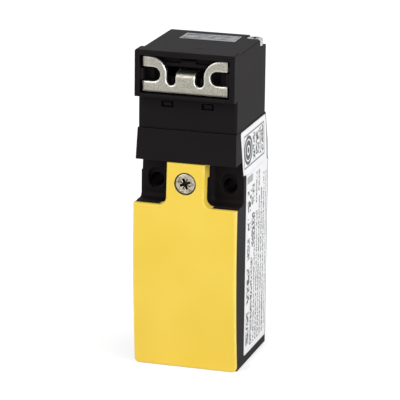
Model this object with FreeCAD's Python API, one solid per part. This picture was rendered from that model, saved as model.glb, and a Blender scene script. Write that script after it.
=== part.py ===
"""Tongue interlock switch: a slim safety position switch with a separate, bent steel actuator.

Millimetres, +Z up, the actuator enters from -Y. The origin is on the cable entry's axis at the
bottom face. Every piece is built where it sits with the actuator fully inserted.
"""
import FreeCAD, Part
import math
import os

V = FreeCAD.Vector
X_AXIS, Y_AXIS, Z_AXIS = V(1, 0, 0), V(0, 1, 0), V(0, 0, 1)
FAR = 40.0                      # half size of the blocks that only trim other shapes
LAP = 1.0                       # how far one block runs into the next before they are joined or cut

# ---- switch body ---------------------------------------------------------------------------
BODY_W = 31.0                   # overall width
BODY_REAR_Y = 15.5              # rear mounting face
BODY_H = 71.1                   # bottom face to the top of the collar
CROWN_R = 300.0                 # radius of the gently bowed front
CROWN_Z = 37.0                  # height of the bow's most forward line
FRONT_Y = -18.6                 # most forward line of the front cover
SIDE_WALL, REAR_WALL, FLOOR_WALL = 2.2, 2.4, 3.0
SHOULDER_DROP = 22.0            # collar's top down to the top of the full-width part of the cover
SHOULDER_WALL = 2.6
MOUTH_CORNER_R = 1.5            # of the chamber behind the cover
EAR_Y = -10.5                   # front plane of the two mounting ears
STEP_DROP = 14.1                # the sides step in above this
STEP_IN = 0.3
COLLAR_H = 9.1
COLLAR_TOP_IN = 0.75            # its sides lean in by this much to the top
COLLAR_BOTTOM_Y, COLLAR_TOP_Y = (-17.5, 15.5), (-16.7, 13.9)   # front and rear
CORNER_R = 0.9                  # upright corners at the back

# ---- mounting ears -------------------------------------------------------------------------
MOUNT_PITCH = 22.0
MOUNT_HOLE_R = 2.15
MOUNT_HOLE_DROP = 16.9
MOUNT_POCKET_R, MOUNT_POCKET_H = 2.45, 6.3      # elongated pocket around the mouth of each hole
MOUNT_POCKET_LIFT = 0.8         # its centre lies this far above the hole
MOUNT_POCKET_DEPTH = 1.3
EAR_FILLET_R = 1.5

# ---- cable entry ---------------------------------------------------------------------------
CABLE_R = 9.19                  # core radius of an M20 x 1.5 thread
CABLE_BOSS_R = 11.3
CABLE_LENGTH = 8.5

# ---- front cover ---------------------------------------------------------------------------
RIM = 1.4                       # visible edge of the cover
RIM_GAP = 0.15                  # seam between the cover and the body
TAB_W = 11.3
TAB_TOP_GAP = 0.25              # below the collar
TAB_SKIRT_LOW, TAB_SKIRT_HIGH = 3.5, 5.4
TAB_SKIRT_STEP_DROP = 13.8
TAB_FILLET_R = 2.4
COVER_CORNER_R = 1.2
COVER_EDGE_R = 0.5
COVER_SKIN = 2.0
LIP_WALL = 1.2
LIP_DEPTH = 4.5
LIP_GAP = 0.3
GASKET_W, GASKET_T = 1.0, 1.15
COVER_SCREW_DROP = 15.3
SCREW_HEAD_R, SCREW_HEAD_H = 3.0, 2.2
SCREW_SHANK_R = 1.7
SCREW_REACH = 10.4              # from the head's front to the tip
SCREW_SINK = 0.25
SCREW_RING_GAP = 0.3
SCREW_CLEAR_X, SCREW_CLEAR_Z = 4.0, 5.0          # around the screw no edge is rounded
SCREW_SEAL_T = 0.45
INSERT_R, INSERT_LENGTH = 2.35, 5.0

# ---- operating head ------------------------------------------------------------------------
HEAD_IN, HEAD_D = 0.8, 30.0     # each side lies this far inside the body's; depth
HEAD_RISE = 22.8                # above the collar's top
HEAD_GAP = 0.2                  # seam between collar and head
TURN_Y = -1.3                   # turning axis of the head, also the plunger's axis
SPIGOT_R, SPIGOT_GAP = 8.9, 0.1
SPIGOT_DROP = 4.9
LUG_R, LUG_H, LUG_COUNT = 10.1, 1.5, 4
LUG_ARC = 34.0
LUG_GAP = 0.3
BASE_PLATE_T = 2.0
BASE_PLATE_WALL = 1.2
POCKET_X, POCKET_RISE = 6.0, 7.5                # small snap pockets in the head's front
POCKET_W, POCKET_H, POCKET_DEPTH = 3.8, 2.0, 1.2
NOTCH_IN, NOTCH_DEPTH = 5.5, 6.7                # corner cut's length along the back and the side
NOTCH_RISE = 20.4
HEAD_SCREW_IN = 2.8             # from the head's side and back
HEAD_SCREW_HEAD_R, HEAD_SCREW_HEAD_H, HEAD_SCREW_R = 2.4, 2.2, 1.0
HEAD_SCREW_GAP = 0.3            # around its head
WINDOW_W, WINDOW_D = 16.0, 7.3  # upper actuator entry, closed by a blanking plug
PLUG_SINK = 0.5
PLUG_T = 1.3
PLUG_GAP = 0.1
PLUG_STEM_HALF_D, PLUG_STEM_H, UPPER_WAY_HALF_D = 2.3, 1.5, 2.4

# ---- entry frame and actuator --------------------------------------------------------------
KEY_T = 1.5
KEY_SIDE_GAP = 0.85             # on each side, to the frame's mouth
KEY_LOW_RISE, KEY_HIGH_RISE = 11.4, 21.5
KEY_STAND_OFF = 2.55            # from its front to the head's front
KEY_SLOT_H, KEY_SLOT_DEPTH = 4.3, 5.2
KEY_BAND = 1.75                 # metal between a slot's end and the window beside it
KEY_ARC_R = 4.9
KEY_BAR = 2.1                   # metal below the windows
TONGUE_W = 5.6
TONGUE_RISE = 17.5
TONGUE_BEND_R = 2.0             # outside of the bend
TONGUE_TIP_Y = 0.0
TEE_W, TEE_LENGTH = 12.0, 4.2
FRAME_PROUD = 0.15              # each side stands this far outside the head's
FRAME_LOW_RISE, FRAME_HIGH_RISE = 9.8, 23.5
FRAME_STAND_OFF = 3.55
FRAME_SIDE, FRAME_SILL, FRAME_LINTEL = 1.45, 1.0, 1.5
FRAME_LAP = 2.0                 # lies on the head's top this far back
FRAME_BLOCK_H, FRAME_BLOCK_REACH = 3.2, 1.0
FUNNEL_IN, FUNNEL_DEPTH, FUNNEL_SILL, FUNNEL_LINTEL = 3.5, 1.5, 2.5, 2.4

# ---- cam and plunger -----------------------------------------------------------------------
KEY_TRAVEL = 24.0
CAM_TURN = 75.0                 # degrees over the actuator's travel
CAM_LEVER = 7.2                 # cam axis to the middle of the tongue
CAM_W = 13.0
CAM_SIDE_GAP = 0.5
CAM_TOOTH_GAP = 0.35            # below the tongue
CAM_WALL_R, CAM_WALL_T = 8.6, 2.2
CAM_LOW_R = 4.0
CAM_SWEEP_GAP = 0.4
SHAFT_R, SHAFT_GAP, SHAFT_END_WALL = 1.5, 0.05, 2.2
STROKE = 2.6                    # of the plunger and of the contact slide
PLUNGER_R, PLUNGER_GAP = 2.0, 0.05
PLUNGER_CAM_GAP = 0.3
PUSH_GAP = 0.1                  # plunger to contact slide
SEAL_R, SEAL_T = 4.2, 1.9
KEYWAY_GAP = 0.65               # around the tongue where it enters the head

# ---- contact block -------------------------------------------------------------------------
BLOCK_LOW_DROP, BLOCK_HIGH_DROP = 53.1, 24.9
BLOCK_FRONT_Y, BLOCK_REAR_Y = -5.7, 8.0
BLOCK_SIDE_GAP = 0.4
ROW_LOW_DROP, ROW_HIGH_DROP = 39.1, 29.1        # underside of the fixed contacts, one row per contact
CHAMBER_SIDE_GAP = 0.15         # contact chamber to the terminal's plate
BRIDGE_T, TIP_T = 0.6, 0.4
BRIDGE_W, BRIDGE_END_GAP, TIP_SHIFT = 3.0, 0.3, 0.25
SLIDE_SHARE, TIP_SHARE = 1 / 3, 1 / 5.5         # slide's half width, tip's radius: of the chamber's
SLIDE_HALF_D, SLIDE_DROP = 3.0, 48.1
SLIDE_GAP = 0.15
SPRING_WINDOW_H = 4.6           # below each bridge
CONTACT_WIRE_R, CONTACT_TURNS = 0.2, 4
RETURN_SPRING_IN, RETURN_WIRE_R, RETURN_TURNS = 0.85, 0.22, 5
RETURN_SEAT_DEPTH = 2.0
STRIP_T = 0.8
TERMINAL_IN, TERMINAL_SIZE = 5.75, 6.0          # centre to the body's side; plate's side
CLAMP_T = 0.9
TERMINAL_SCREW_R, TERMINAL_HEAD_R, TERMINAL_HEAD_H = 1.4, 2.1, 1.9
TERMINAL_SCREW_LENGTH = 7.0
BARRIER_T, BARRIER_REACH = 1.0, 5.0
POST_IN, POST_DROP, POST_R = 5.1, 49.5, 2.6
PAD_H = 4.0                     # rear pad that the block's top leans on
BARRIER_LIFT = 0.1
BLOCK_SCREW_R, BLOCK_SCREW_HEAD_R, BLOCK_SCREW_HEAD_H = 1.1, 2.1, 1.4
BLOCK_SCREW_LENGTH = 7.5
UPPER_CHAMBER_HALF_W, UPPER_CHAMBER_Y, UPPER_CHAMBER_DROP = 4.2, (-5.0, 8.0), 11.1

# ---- side label ----------------------------------------------------------------------------
LABEL_T = 0.12
LABEL_BOTTOM_Z, LABEL_TOP_DROP = 2.5, 0.4
LABEL_FRONT_Y, LABEL_UPPER_FRONT_Y, LABEL_REAR_Y = -8.3, -12.5, 14.4
LABEL_CORNER_R = 0.8

# ---- screws and springs --------------------------------------------------------------------
SCREW_BEVEL = 0.2  # share of a screw head's height
RECESS_REACH, RECESS_WIDTH, RECESS_DEPTH = 0.6, 0.28, 0.6  # shares of the head's radius and height
COIL_STEPS, COIL_SIDES = 10, 6  # flats round one turn and round the wire

# ---- worked out from the sizes above -------------------------------------------------------
HALF_W = BODY_W / 2
SHOULDER_Z, STEP_Z, COLLAR_Z = BODY_H - SHOULDER_DROP, BODY_H - STEP_DROP, BODY_H - COLLAR_H
MOUNT_HOLE_Z, COVER_SCREW_Z = BODY_H - MOUNT_HOLE_DROP, BODY_H - COVER_SCREW_DROP
TAB_SKIRT_STEP_Z, SPIGOT_BOTTOM_Z = BODY_H - TAB_SKIRT_STEP_DROP, BODY_H - SPIGOT_DROP
BLOCK_BOTTOM_Z, BLOCK_TOP_Z = BODY_H - BLOCK_LOW_DROP, BODY_H - BLOCK_HIGH_DROP
ROW_Z = (BODY_H - ROW_LOW_DROP, BODY_H - ROW_HIGH_DROP)
SLIDE_BOTTOM_Z, POST_Z = BODY_H - SLIDE_DROP, BODY_H - POST_DROP
UPPER_CHAMBER_TOP_Z, LABEL_TOP_Z = BODY_H - UPPER_CHAMBER_DROP, BODY_H - LABEL_TOP_DROP
TERMINAL_X, POST_X = HALF_W - TERMINAL_IN, HALF_W - POST_IN
CHAMBER_HALF_W = TERMINAL_X - TERMINAL_SIZE / 2 - CHAMBER_SIDE_GAP
BRIDGE_HALF_L = CHAMBER_HALF_W - BARRIER_T - BRIDGE_END_GAP
SLIDE_HALF_W, TIP_R = CHAMBER_HALF_W * SLIDE_SHARE, CHAMBER_HALF_W * TIP_SHARE
TIP_X = (SLIDE_HALF_W + BRIDGE_HALF_L) / 2 + TIP_SHIFT
CONTACT_SPRING_R, RETURN_SPRING_R = BRIDGE_W / 2 - CONTACT_WIRE_R, SLIDE_HALF_W - RETURN_SPRING_IN
HEAD_W = BODY_W - 2 * HEAD_IN
HEAD_TOP_Z, POCKET_Z, NOTCH_FLOOR_Z = BODY_H + HEAD_RISE, BODY_H + POCKET_RISE, BODY_H + NOTCH_RISE
KEY_BOTTOM_Z, KEY_TOP_Z, TONGUE_TOP_Z = BODY_H + KEY_LOW_RISE, BODY_H + KEY_HIGH_RISE, BODY_H + TONGUE_RISE
FRAME_W = HEAD_W + 2 * FRAME_PROUD
FRAME_MOUTH_W = FRAME_W - 2 * FRAME_SIDE
KEY_W = FRAME_MOUTH_W - 2 * KEY_SIDE_GAP
SHAFT_LENGTH = HEAD_W - 2 * SHAFT_END_WALL
FRAME_BOTTOM_Z, FRAME_TOP_Z = BODY_H + FRAME_LOW_RISE, BODY_H + FRAME_HIGH_RISE
FRAME_MOUTH_BOTTOM_Z, FRAME_MOUTH_TOP_Z = FRAME_BOTTOM_Z + FRAME_SILL, FRAME_TOP_Z - FRAME_LINTEL
HEAD_FRONT_Y, HEAD_REAR_Y = TURN_Y - HEAD_D / 2, TURN_Y + HEAD_D / 2
HEAD_BOTTOM_Z = BODY_H + HEAD_GAP
NOTCH_X, NOTCH_Y = HEAD_W / 2 - NOTCH_IN, HEAD_REAR_Y - NOTCH_DEPTH
HEAD_SCREW_X, HEAD_SCREW_Y = HEAD_W / 2 - HEAD_SCREW_IN, HEAD_REAR_Y - HEAD_SCREW_IN
KEY_FRONT_Y, FRAME_FRONT_Y = HEAD_FRONT_Y - KEY_STAND_OFF, HEAD_FRONT_Y - FRAME_STAND_OFF
TONGUE_MID_Z = TONGUE_TOP_Z - KEY_T / 2
CAM_Z = TONGUE_MID_Z - CAM_LEVER
CAM_TOOTH_R = CAM_LEVER - KEY_T / 2 - CAM_TOOTH_GAP
CAM_HIGH_R = CAM_LOW_R + STROKE
PLUNGER_TOP_Z = CAM_Z - CAM_LOW_R - PLUNGER_CAM_GAP
PLUNGER_BOTTOM_Z = UPPER_CHAMBER_TOP_Z - 2 * PUSH_GAP
KEY_SLOT_Z = (KEY_BOTTOM_Z + KEY_TOP_Z) / 2
WINDOW_Y = TURN_Y + CAM_LEVER
MOUTH_HALF_W = HALF_W - SIDE_WALL
MOUTH_TOP_Z = SHOULDER_Z - SHOULDER_WALL
INNER_REAR_Y = BODY_REAR_Y - REAR_WALL


# ---- small helpers -------------------------------------------------------------------------
def box(x, y, z):
    """A box between two values on each axis."""
    return Part.makeBox(x[1] - x[0], y[1] - y[0], z[1] - z[0], V(x[0], y[0], z[0]))


def both(half):
    """The two ends of a width that is centred on the middle plane."""
    return (-half, half)


def rod(radius, start, axis, length):
    """A cylinder from a start point along an axis."""
    return Part.makeCylinder(radius, length, start, axis)


def tube(outer, inner, start, axis, length):
    """A cylinder with a hole through it."""
    return rod(outer, start, axis, length).cut(rod(inner, start, axis, length))


def prism(points, move):
    """A polygon of points, extruded by a vector."""
    return Part.Face(Part.makePolygon(points + points[:1])).extrude(move)


def rounded(shape, radius, wanted):
    """Round the edges for which wanted(edge centre, edge direction) is true."""
    edges = [edge for edge in shape.Edges if wanted(edge.CenterOfMass, direction(edge))]
    return only_solid(shape.makeFillet(radius, edges))


def only_solid(shape):
    """The solid itself where an operation wraps a single one in a compound."""
    return shape.Solids[0] if len(shape.Solids) == 1 else shape


def direction(edge):
    """The direction from an edge's first end to its last, zero for a closed edge."""
    ends = [vertex.Point for vertex in edge.Vertexes]
    step = ends[-1] - ends[0]
    return step.normalize() if step.Length > 1e-6 else V(0, 0, 0)


def along(way, axis):
    """True for a direction parallel to an axis."""
    return abs(way.dot(axis)) > 0.999


def fuse(first, *others):
    """One solid from several that meet."""
    return only_solid(first.multiFuse(list(others)).removeSplitter())


def cross_recess(centre, axis, side, reach, width, depth):
    """The cross-shaped drive recess of a screw head; centre is on the head's face."""
    other = axis.cross(side)
    blades = []
    for long_way, short_way in ((side, other), (other, side)):
        corner = centre - long_way * reach - short_way * (width / 2)
        points = [corner, corner + long_way * (2 * reach),
                  corner + long_way * (2 * reach) + short_way * width, corner + short_way * width]
        blades.append(prism(points, axis * depth))
    return blades[0].fuse(blades[1])


def direction_at(angle):
    """The level direction at an angle in radians from +X."""
    return V(math.cos(angle), math.sin(angle), 0)


def coil_ring(radius, wire_r, angle, rise):
    """The corners of the wire's cross-section at one angle round a spring on the Z axis."""
    out = direction_at(angle)
    middle = out * radius + V(0, 0, rise)
    leans = [2 * math.pi * side / COIL_SIDES for side in range(COIL_SIDES)]
    return [middle + out * (wire_r * math.cos(lean)) + V(0, 0, wire_r * math.sin(lean)) for lean in leans]


def coil(radius, wire_r, start, height, turns):
    """A spring of flat-sided wire that stands on start and is height tall over the wire."""
    pitch = (height - 2 * wire_r) / turns
    rings = []
    for step in range(turns * COIL_STEPS + 1):
        part_turn = step / COIL_STEPS
        rings.append(coil_ring(radius, wire_r, 2 * math.pi * part_turn, wire_r + pitch * part_turn))
    faces = [Part.Face(Part.makePolygon(ring + ring[:1])) for ring in (rings[0], rings[-1])]
    for low, high in zip(rings, rings[1:]):
        for here in range(COIL_SIDES):
            after = (here + 1) % COIL_SIDES
            for corners in ((low[here], low[after], high[after]), (low[here], high[after], high[here])):
                faces.append(Part.Face(Part.makePolygon(list(corners) + [corners[0]])))
    spring = Part.makeSolid(Part.makeShell(faces))
    spring.translate(start)
    return spring


def screw(head_r, head_h, shank_r, reach, top, axis, side):
    """A cylinder-head screw with a bevelled edge and a cross recess; axis points to the tip."""
    bevel = head_h * SCREW_BEVEL
    head = Part.makeCone(head_r - bevel, head_r, bevel, top, axis)
    collar = rod(head_r, top + axis * bevel, axis, head_h - bevel)
    shank = rod(shank_r, top + axis * head_h, axis, reach - head_h)
    recess = cross_recess(top, axis, side, head_r * RECESS_REACH, head_r * RECESS_WIDTH,
                          head_h * RECESS_DEPTH)
    return fuse(head, collar, shank).cut(recess).removeSplitter()


# ---- outline of the cover and the bowed front ----------------------------------------------
def behind_crown(inset, top=FAR * 3):
    """Everything behind the bowed front, moved back by inset, up to a height."""
    radius = CROWN_R - inset
    middle_y = FRONT_Y + CROWN_R

    def at(z):
        return V(-FAR, middle_y - math.sqrt(radius ** 2 - (z - CROWN_Z) ** 2), z)

    low, high = -1.0, min(top, HEAD_TOP_Z)
    bow = Part.Arc(at(low), at((low + high) / 2), at(high)).toShape()
    back = [at(high), V(-FAR, FAR, high), V(-FAR, FAR, low), at(low)]
    return Part.Face(Part.Wire([bow] + Part.makePolygon(back).Edges)).extrude(V(2 * FAR, 0, 0))


def body_front_space(gap):
    """Everything behind the stepped front edge of the body, under the cover."""
    return fuse(behind_crown(RIM + gap, SHOULDER_Z - gap),
                behind_crown(TAB_SKIRT_LOW + gap, TAB_SKIRT_STEP_Z - gap),
                behind_crown(TAB_SKIRT_HIGH + gap, HEAD_TOP_Z))


def ear_recess(side):
    """The space in front of one mounting ear, as a cutting shape with rounded inner corners."""
    inner, outer = side * TAB_W / 2, side * FAR
    shape = box(sorted((inner, outer)), (-FAR, EAR_Y), (SHOULDER_Z, FAR * 2))
    shape = rounded(shape, TAB_FILLET_R, lambda at, way: along(way, Y_AXIS)
                    and abs(at.x - inner) < 0.01 and at.z < SHOULDER_Z + 0.01)
    return rounded(shape, EAR_FILLET_R, lambda at, way: at.y > EAR_Y - 0.01
                   and abs(at.x) < FAR - 0.1 and at.z < FAR * 2 - 0.1)


def cover_outline(top):
    """The cover's T-shaped outline as a prism that runs from the front to the ears."""
    shape = box(both(HALF_W), (-FAR, EAR_Y), (0, top))
    shape = rounded(shape, COVER_CORNER_R, lambda at, way: along(way, Y_AXIS) and at.z < 0.01)
    return shape.cut([ear_recess(side) for side in (-1, 1)])


# ---- switch body ---------------------------------------------------------------------------
def side_profile(offset):
    """Outline of the body seen from the front, from the middle plane out to offset beyond it."""
    half = HALF_W + offset
    return [V(half, 0, 0), V(half, 0, STEP_Z), V(half - STEP_IN, 0, STEP_Z + STEP_IN),
            V(half - COLLAR_TOP_IN, 0, BODY_H)]


def body_blank():
    """The body's outside, with ears, tower and collar, before it is hollowed."""
    right = side_profile(0)
    left = [V(-point.x, point.y, point.z) for point in reversed(right)]
    width = prism(right + left, V(0, 2 * FAR, 0)).translated(V(0, -FAR, 0))
    front_block = box(both(HALF_W), (-FAR, EAR_Y), (0, COLLAR_Z)).common(body_front_space(RIM_GAP))
    block = fuse(front_block, box(both(HALF_W), (EAR_Y, BODY_REAR_Y), (0, COLLAR_Z)))
    block = block.cut([ear_recess(side) for side in (-1, 1)])
    (low_front, low_rear), (top_front, top_rear) = COLLAR_BOTTOM_Y, COLLAR_TOP_Y
    collar = prism([V(-FAR, low_front, COLLAR_Z), V(-FAR, low_rear, COLLAR_Z), V(-FAR, top_rear, BODY_H),
                    V(-FAR, top_front, BODY_H)], V(2 * FAR, 0, 0))
    return fuse(block, collar).common(width)


def mounting_cuts():
    """Both mounting holes, each with an elongated pocket at its front mouth."""
    cuts = []
    for x in both(MOUNT_PITCH / 2):
        cuts.append(rod(MOUNT_HOLE_R, V(x, -FAR, MOUNT_HOLE_Z), Y_AXIS, 2 * FAR))
        flat = (MOUNT_POCKET_H - 2 * MOUNT_POCKET_R) / 2
        middle = MOUNT_HOLE_Z + MOUNT_POCKET_LIFT
        depth = (EAR_Y - 1, EAR_Y + MOUNT_POCKET_DEPTH)
        cuts.append(box((x - MOUNT_POCKET_R, x + MOUNT_POCKET_R), depth, (middle - flat, middle + flat)))
        cuts += [rod(MOUNT_POCKET_R, V(x, depth[0], middle + lift), Y_AXIS, depth[1] - depth[0])
                 for lift in both(flat)]
    return cuts


def head_socket():
    """The round socket in the collar that the head's bayonet spigot turns in."""
    socket_r, groove_r = SPIGOT_R + SPIGOT_GAP, LUG_R + LUG_GAP
    floor = SPIGOT_BOTTOM_Z - LUG_GAP
    groove_top = SPIGOT_BOTTOM_Z + LUG_H + LUG_GAP
    cuts = [rod(socket_r, V(0, TURN_Y, floor), Z_AXIS, BODY_H),
            rod(groove_r, V(0, TURN_Y, floor), Z_AXIS, groove_top - floor),
            rod(SEAL_R, V(0, TURN_Y, floor - SEAL_T), Z_AXIS, SEAL_T),
            rod(PLUNGER_R + 5 * PLUNGER_GAP, V(0, TURN_Y, UPPER_CHAMBER_TOP_Z - 1), Z_AXIS, floor)]
    for number in range(LUG_COUNT):
        way_in = Part.makeCylinder(groove_r, BODY_H, V(0, TURN_Y, groove_top), Z_AXIS, LUG_ARC + 6)
        way_in.rotate(V(0, TURN_Y, 0), Z_AXIS, number * 360 / LUG_COUNT - LUG_ARC / 2 - 3)
        cuts.append(way_in)
    return cuts


def mouth(half_w, low, high, corner):
    """A rounded rectangle that runs right through from the front, as a cutting prism."""
    shape = box(both(half_w), (-FAR, FAR), (low, high))
    return rounded(shape, corner, lambda at, way: along(way, Y_AXIS))


def base_housing():
    """The moulded body: chamber open to the front, ears, collar and cable entry."""
    chamber = mouth(MOUTH_HALF_W, FLOOR_WALL, MOUTH_TOP_Z, MOUTH_CORNER_R)
    chamber = chamber.common(box(both(FAR), (-FAR, INNER_REAR_Y), (0, FAR * 2)))
    seat = mouth(MOUTH_HALF_W + GASKET_W, FLOOR_WALL - GASKET_W, MOUTH_TOP_Z + GASKET_W,
                 MOUTH_CORNER_R + GASKET_W)
    seat = seat.cut(behind_crown(RIM + GASKET_T + 2 * RIM_GAP))
    upper = box(both(UPPER_CHAMBER_HALF_W), UPPER_CHAMBER_Y, (MOUTH_TOP_Z - LAP, UPPER_CHAMBER_TOP_Z))
    hole_end_y = insert_front_y() + INSERT_LENGTH + LIP_GAP
    insert_hole = rod(INSERT_R, V(0, -FAR, COVER_SCREW_Z), Y_AXIS, FAR + hole_end_y)
    shell = body_blank().cut([chamber, seat, upper, insert_hole] + mounting_cuts() + head_socket())
    boss = rod(CABLE_BOSS_R, V(0, 0, 0), Z_AXIS, CABLE_LENGTH)
    post_length = BODY_REAR_Y - BLOCK_REAR_Y - LAP
    posts = [rod(POST_R, V(x, BLOCK_REAR_Y, POST_Z), Y_AXIS, post_length) for x in both(POST_X)]
    pad = box(both(CHAMBER_HALF_W), (BLOCK_REAR_Y, INNER_REAR_Y + LAP),
              (MOUTH_TOP_Z - PAD_H, MOUTH_TOP_Z + LAP))
    shell = fuse(shell, boss, pad, *posts)
    pilots = [rod(BLOCK_SCREW_R, V(x, BLOCK_REAR_Y, POST_Z), Y_AXIS, BLOCK_SCREW_LENGTH / 2 + PUSH_GAP)
              for x in both(POST_X)]
    shell = shell.cut([rod(CABLE_R, V(0, 0, 0), Z_AXIS, CABLE_LENGTH)] + pilots)
    return rounded(shell, CORNER_R, lambda at, way: along(way, Z_AXIS) and abs(at.y - BODY_REAR_Y) < 0.01
                   and abs(abs(at.x) - HALF_W) < 0.01)


def insert_front_y():
    """Where the threaded insert starts, just inside the tower behind the tab."""
    return cover_face_y(COVER_SCREW_Z) + TAB_SKIRT_HIGH + 2 * RIM_GAP


def cover_face_y(z):
    """The front of the cover at a height."""
    return FRONT_Y + CROWN_R - math.sqrt(CROWN_R ** 2 - (z - CROWN_Z) ** 2)


def cover_insert():
    """Brass threaded insert that takes the cover screw."""
    start = V(0, insert_front_y(), COVER_SCREW_Z)
    return tube(INSERT_R, SCREW_SHANK_R + PLUNGER_GAP, start, Y_AXIS, INSERT_LENGTH)


def side_label():
    """Thin label on the right side, wider above the ears."""
    outer, inner = side_profile(LABEL_T), side_profile(0)
    skin = prism(outer + list(reversed(inner)), V(0, 2 * FAR, 0)).translated(V(0, -FAR, 0))
    jog = STEP_Z + 2 * STEP_IN
    points = [V(0, LABEL_FRONT_Y, LABEL_BOTTOM_Z), V(0, LABEL_REAR_Y, LABEL_BOTTOM_Z),
              V(0, LABEL_REAR_Y, COLLAR_Z), V(0, COLLAR_TOP_Y[1] - 0.8, LABEL_TOP_Z),
              V(0, LABEL_UPPER_FRONT_Y, LABEL_TOP_Z), V(0, LABEL_FRONT_Y - 2.0, jog),
              V(0, LABEL_FRONT_Y, jog)]
    outline = rounded(prism(points, V(FAR, 0, 0)), LABEL_CORNER_R,
                      lambda at, way: along(way, X_AXIS) and (at.z < jog - 1 or at.z > LABEL_TOP_Z - 1))
    return skin.common(outline)


# ---- front cover ---------------------------------------------------------------------------
def front_cover():
    """Bowed T-shaped cover with an inner lip, a skirted tab and a sunk screw seat."""
    outline = cover_outline(COLLAR_Z - TAB_TOP_GAP)
    shell = outline.common(behind_crown(0)).cut(behind_crown(RIM, SHOULDER_Z))
    tab_space = fuse(behind_crown(TAB_SKIRT_LOW, TAB_SKIRT_STEP_Z), behind_crown(TAB_SKIRT_HIGH))
    shell = shell.cut(tab_space)
    hollow = box(both(TAB_W / 2 - LIP_WALL), (-FAR, FAR), (SHOULDER_Z, COLLAR_Z - TAB_TOP_GAP - LIP_WALL))
    boss = rod(SCREW_HEAD_R + LIP_WALL, V(0, -FAR, COVER_SCREW_Z), Y_AXIS, 2 * FAR)
    shell = shell.cut(hollow.common(behind_crown(COVER_SKIN)).cut(boss))
    lip = mouth(MOUTH_HALF_W - LIP_GAP, FLOOR_WALL + LIP_GAP, MOUTH_TOP_Z - LIP_GAP, MOUTH_CORNER_R - LIP_GAP)
    inside = LIP_GAP + LIP_WALL
    lip_hollow = mouth(MOUTH_HALF_W - inside, FLOOR_WALL + inside, MOUTH_TOP_Z - inside, 0.6)
    band = behind_crown(RIM / 2).cut(behind_crown(LIP_DEPTH))
    lip = lip.common(band).cut(lip_hollow.common(behind_crown(COVER_SKIN)))
    shell = fuse(shell, lip)
    face = cover_face_y(COVER_SCREW_Z)
    seat_depth = SCREW_SINK + SCREW_HEAD_H + SCREW_SEAL_T
    shell = shell.cut([rod(SCREW_HEAD_R + SCREW_RING_GAP, V(0, -FAR, COVER_SCREW_Z), Y_AXIS,
                           FAR + face + seat_depth),
                       rod(SCREW_SHANK_R + SCREW_RING_GAP, V(0, -FAR, COVER_SCREW_Z), Y_AXIS, 2 * FAR)])
    return rounded(shell, COVER_EDGE_R, lambda at, way: on_cover_face(at))


def on_cover_face(at):
    """True for an edge centre on the bowed face, away from the screw's seat."""
    beside = abs(at.x) > SCREW_CLEAR_X or abs(at.z - COVER_SCREW_Z) > SCREW_CLEAR_Z
    return abs(at.y - cover_face_y(at.z)) < 0.05 and beside


def cover_gasket():
    """Rubber frame between the cover and the chamber's mouth."""
    outer = mouth(MOUTH_HALF_W + GASKET_W - RIM_GAP, FLOOR_WALL - GASKET_W + RIM_GAP,
                  MOUTH_TOP_Z + GASKET_W - RIM_GAP, MOUTH_CORNER_R + GASKET_W - RIM_GAP)
    inner = mouth(MOUTH_HALF_W + RIM_GAP / 2, FLOOR_WALL - RIM_GAP / 2, MOUTH_TOP_Z + RIM_GAP / 2,
                  MOUTH_CORNER_R)
    return outer.cut(inner).common(behind_crown(RIM).cut(behind_crown(RIM + GASKET_T)))


def cover_screw():
    """Captive screw of the cover."""
    top = V(0, cover_face_y(COVER_SCREW_Z) + SCREW_SINK, COVER_SCREW_Z)
    return screw(SCREW_HEAD_R, SCREW_HEAD_H, SCREW_SHANK_R, SCREW_REACH, top, Y_AXIS, X_AXIS)


def cover_screw_seal():
    """Sealing washer under the cover screw's head."""
    start = V(0, cover_face_y(COVER_SCREW_Z) + SCREW_SINK + SCREW_HEAD_H, COVER_SCREW_Z)
    return tube(SCREW_HEAD_R - 0.1, SCREW_SHANK_R + 0.02, start, Y_AXIS, SCREW_SEAL_T)


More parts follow.
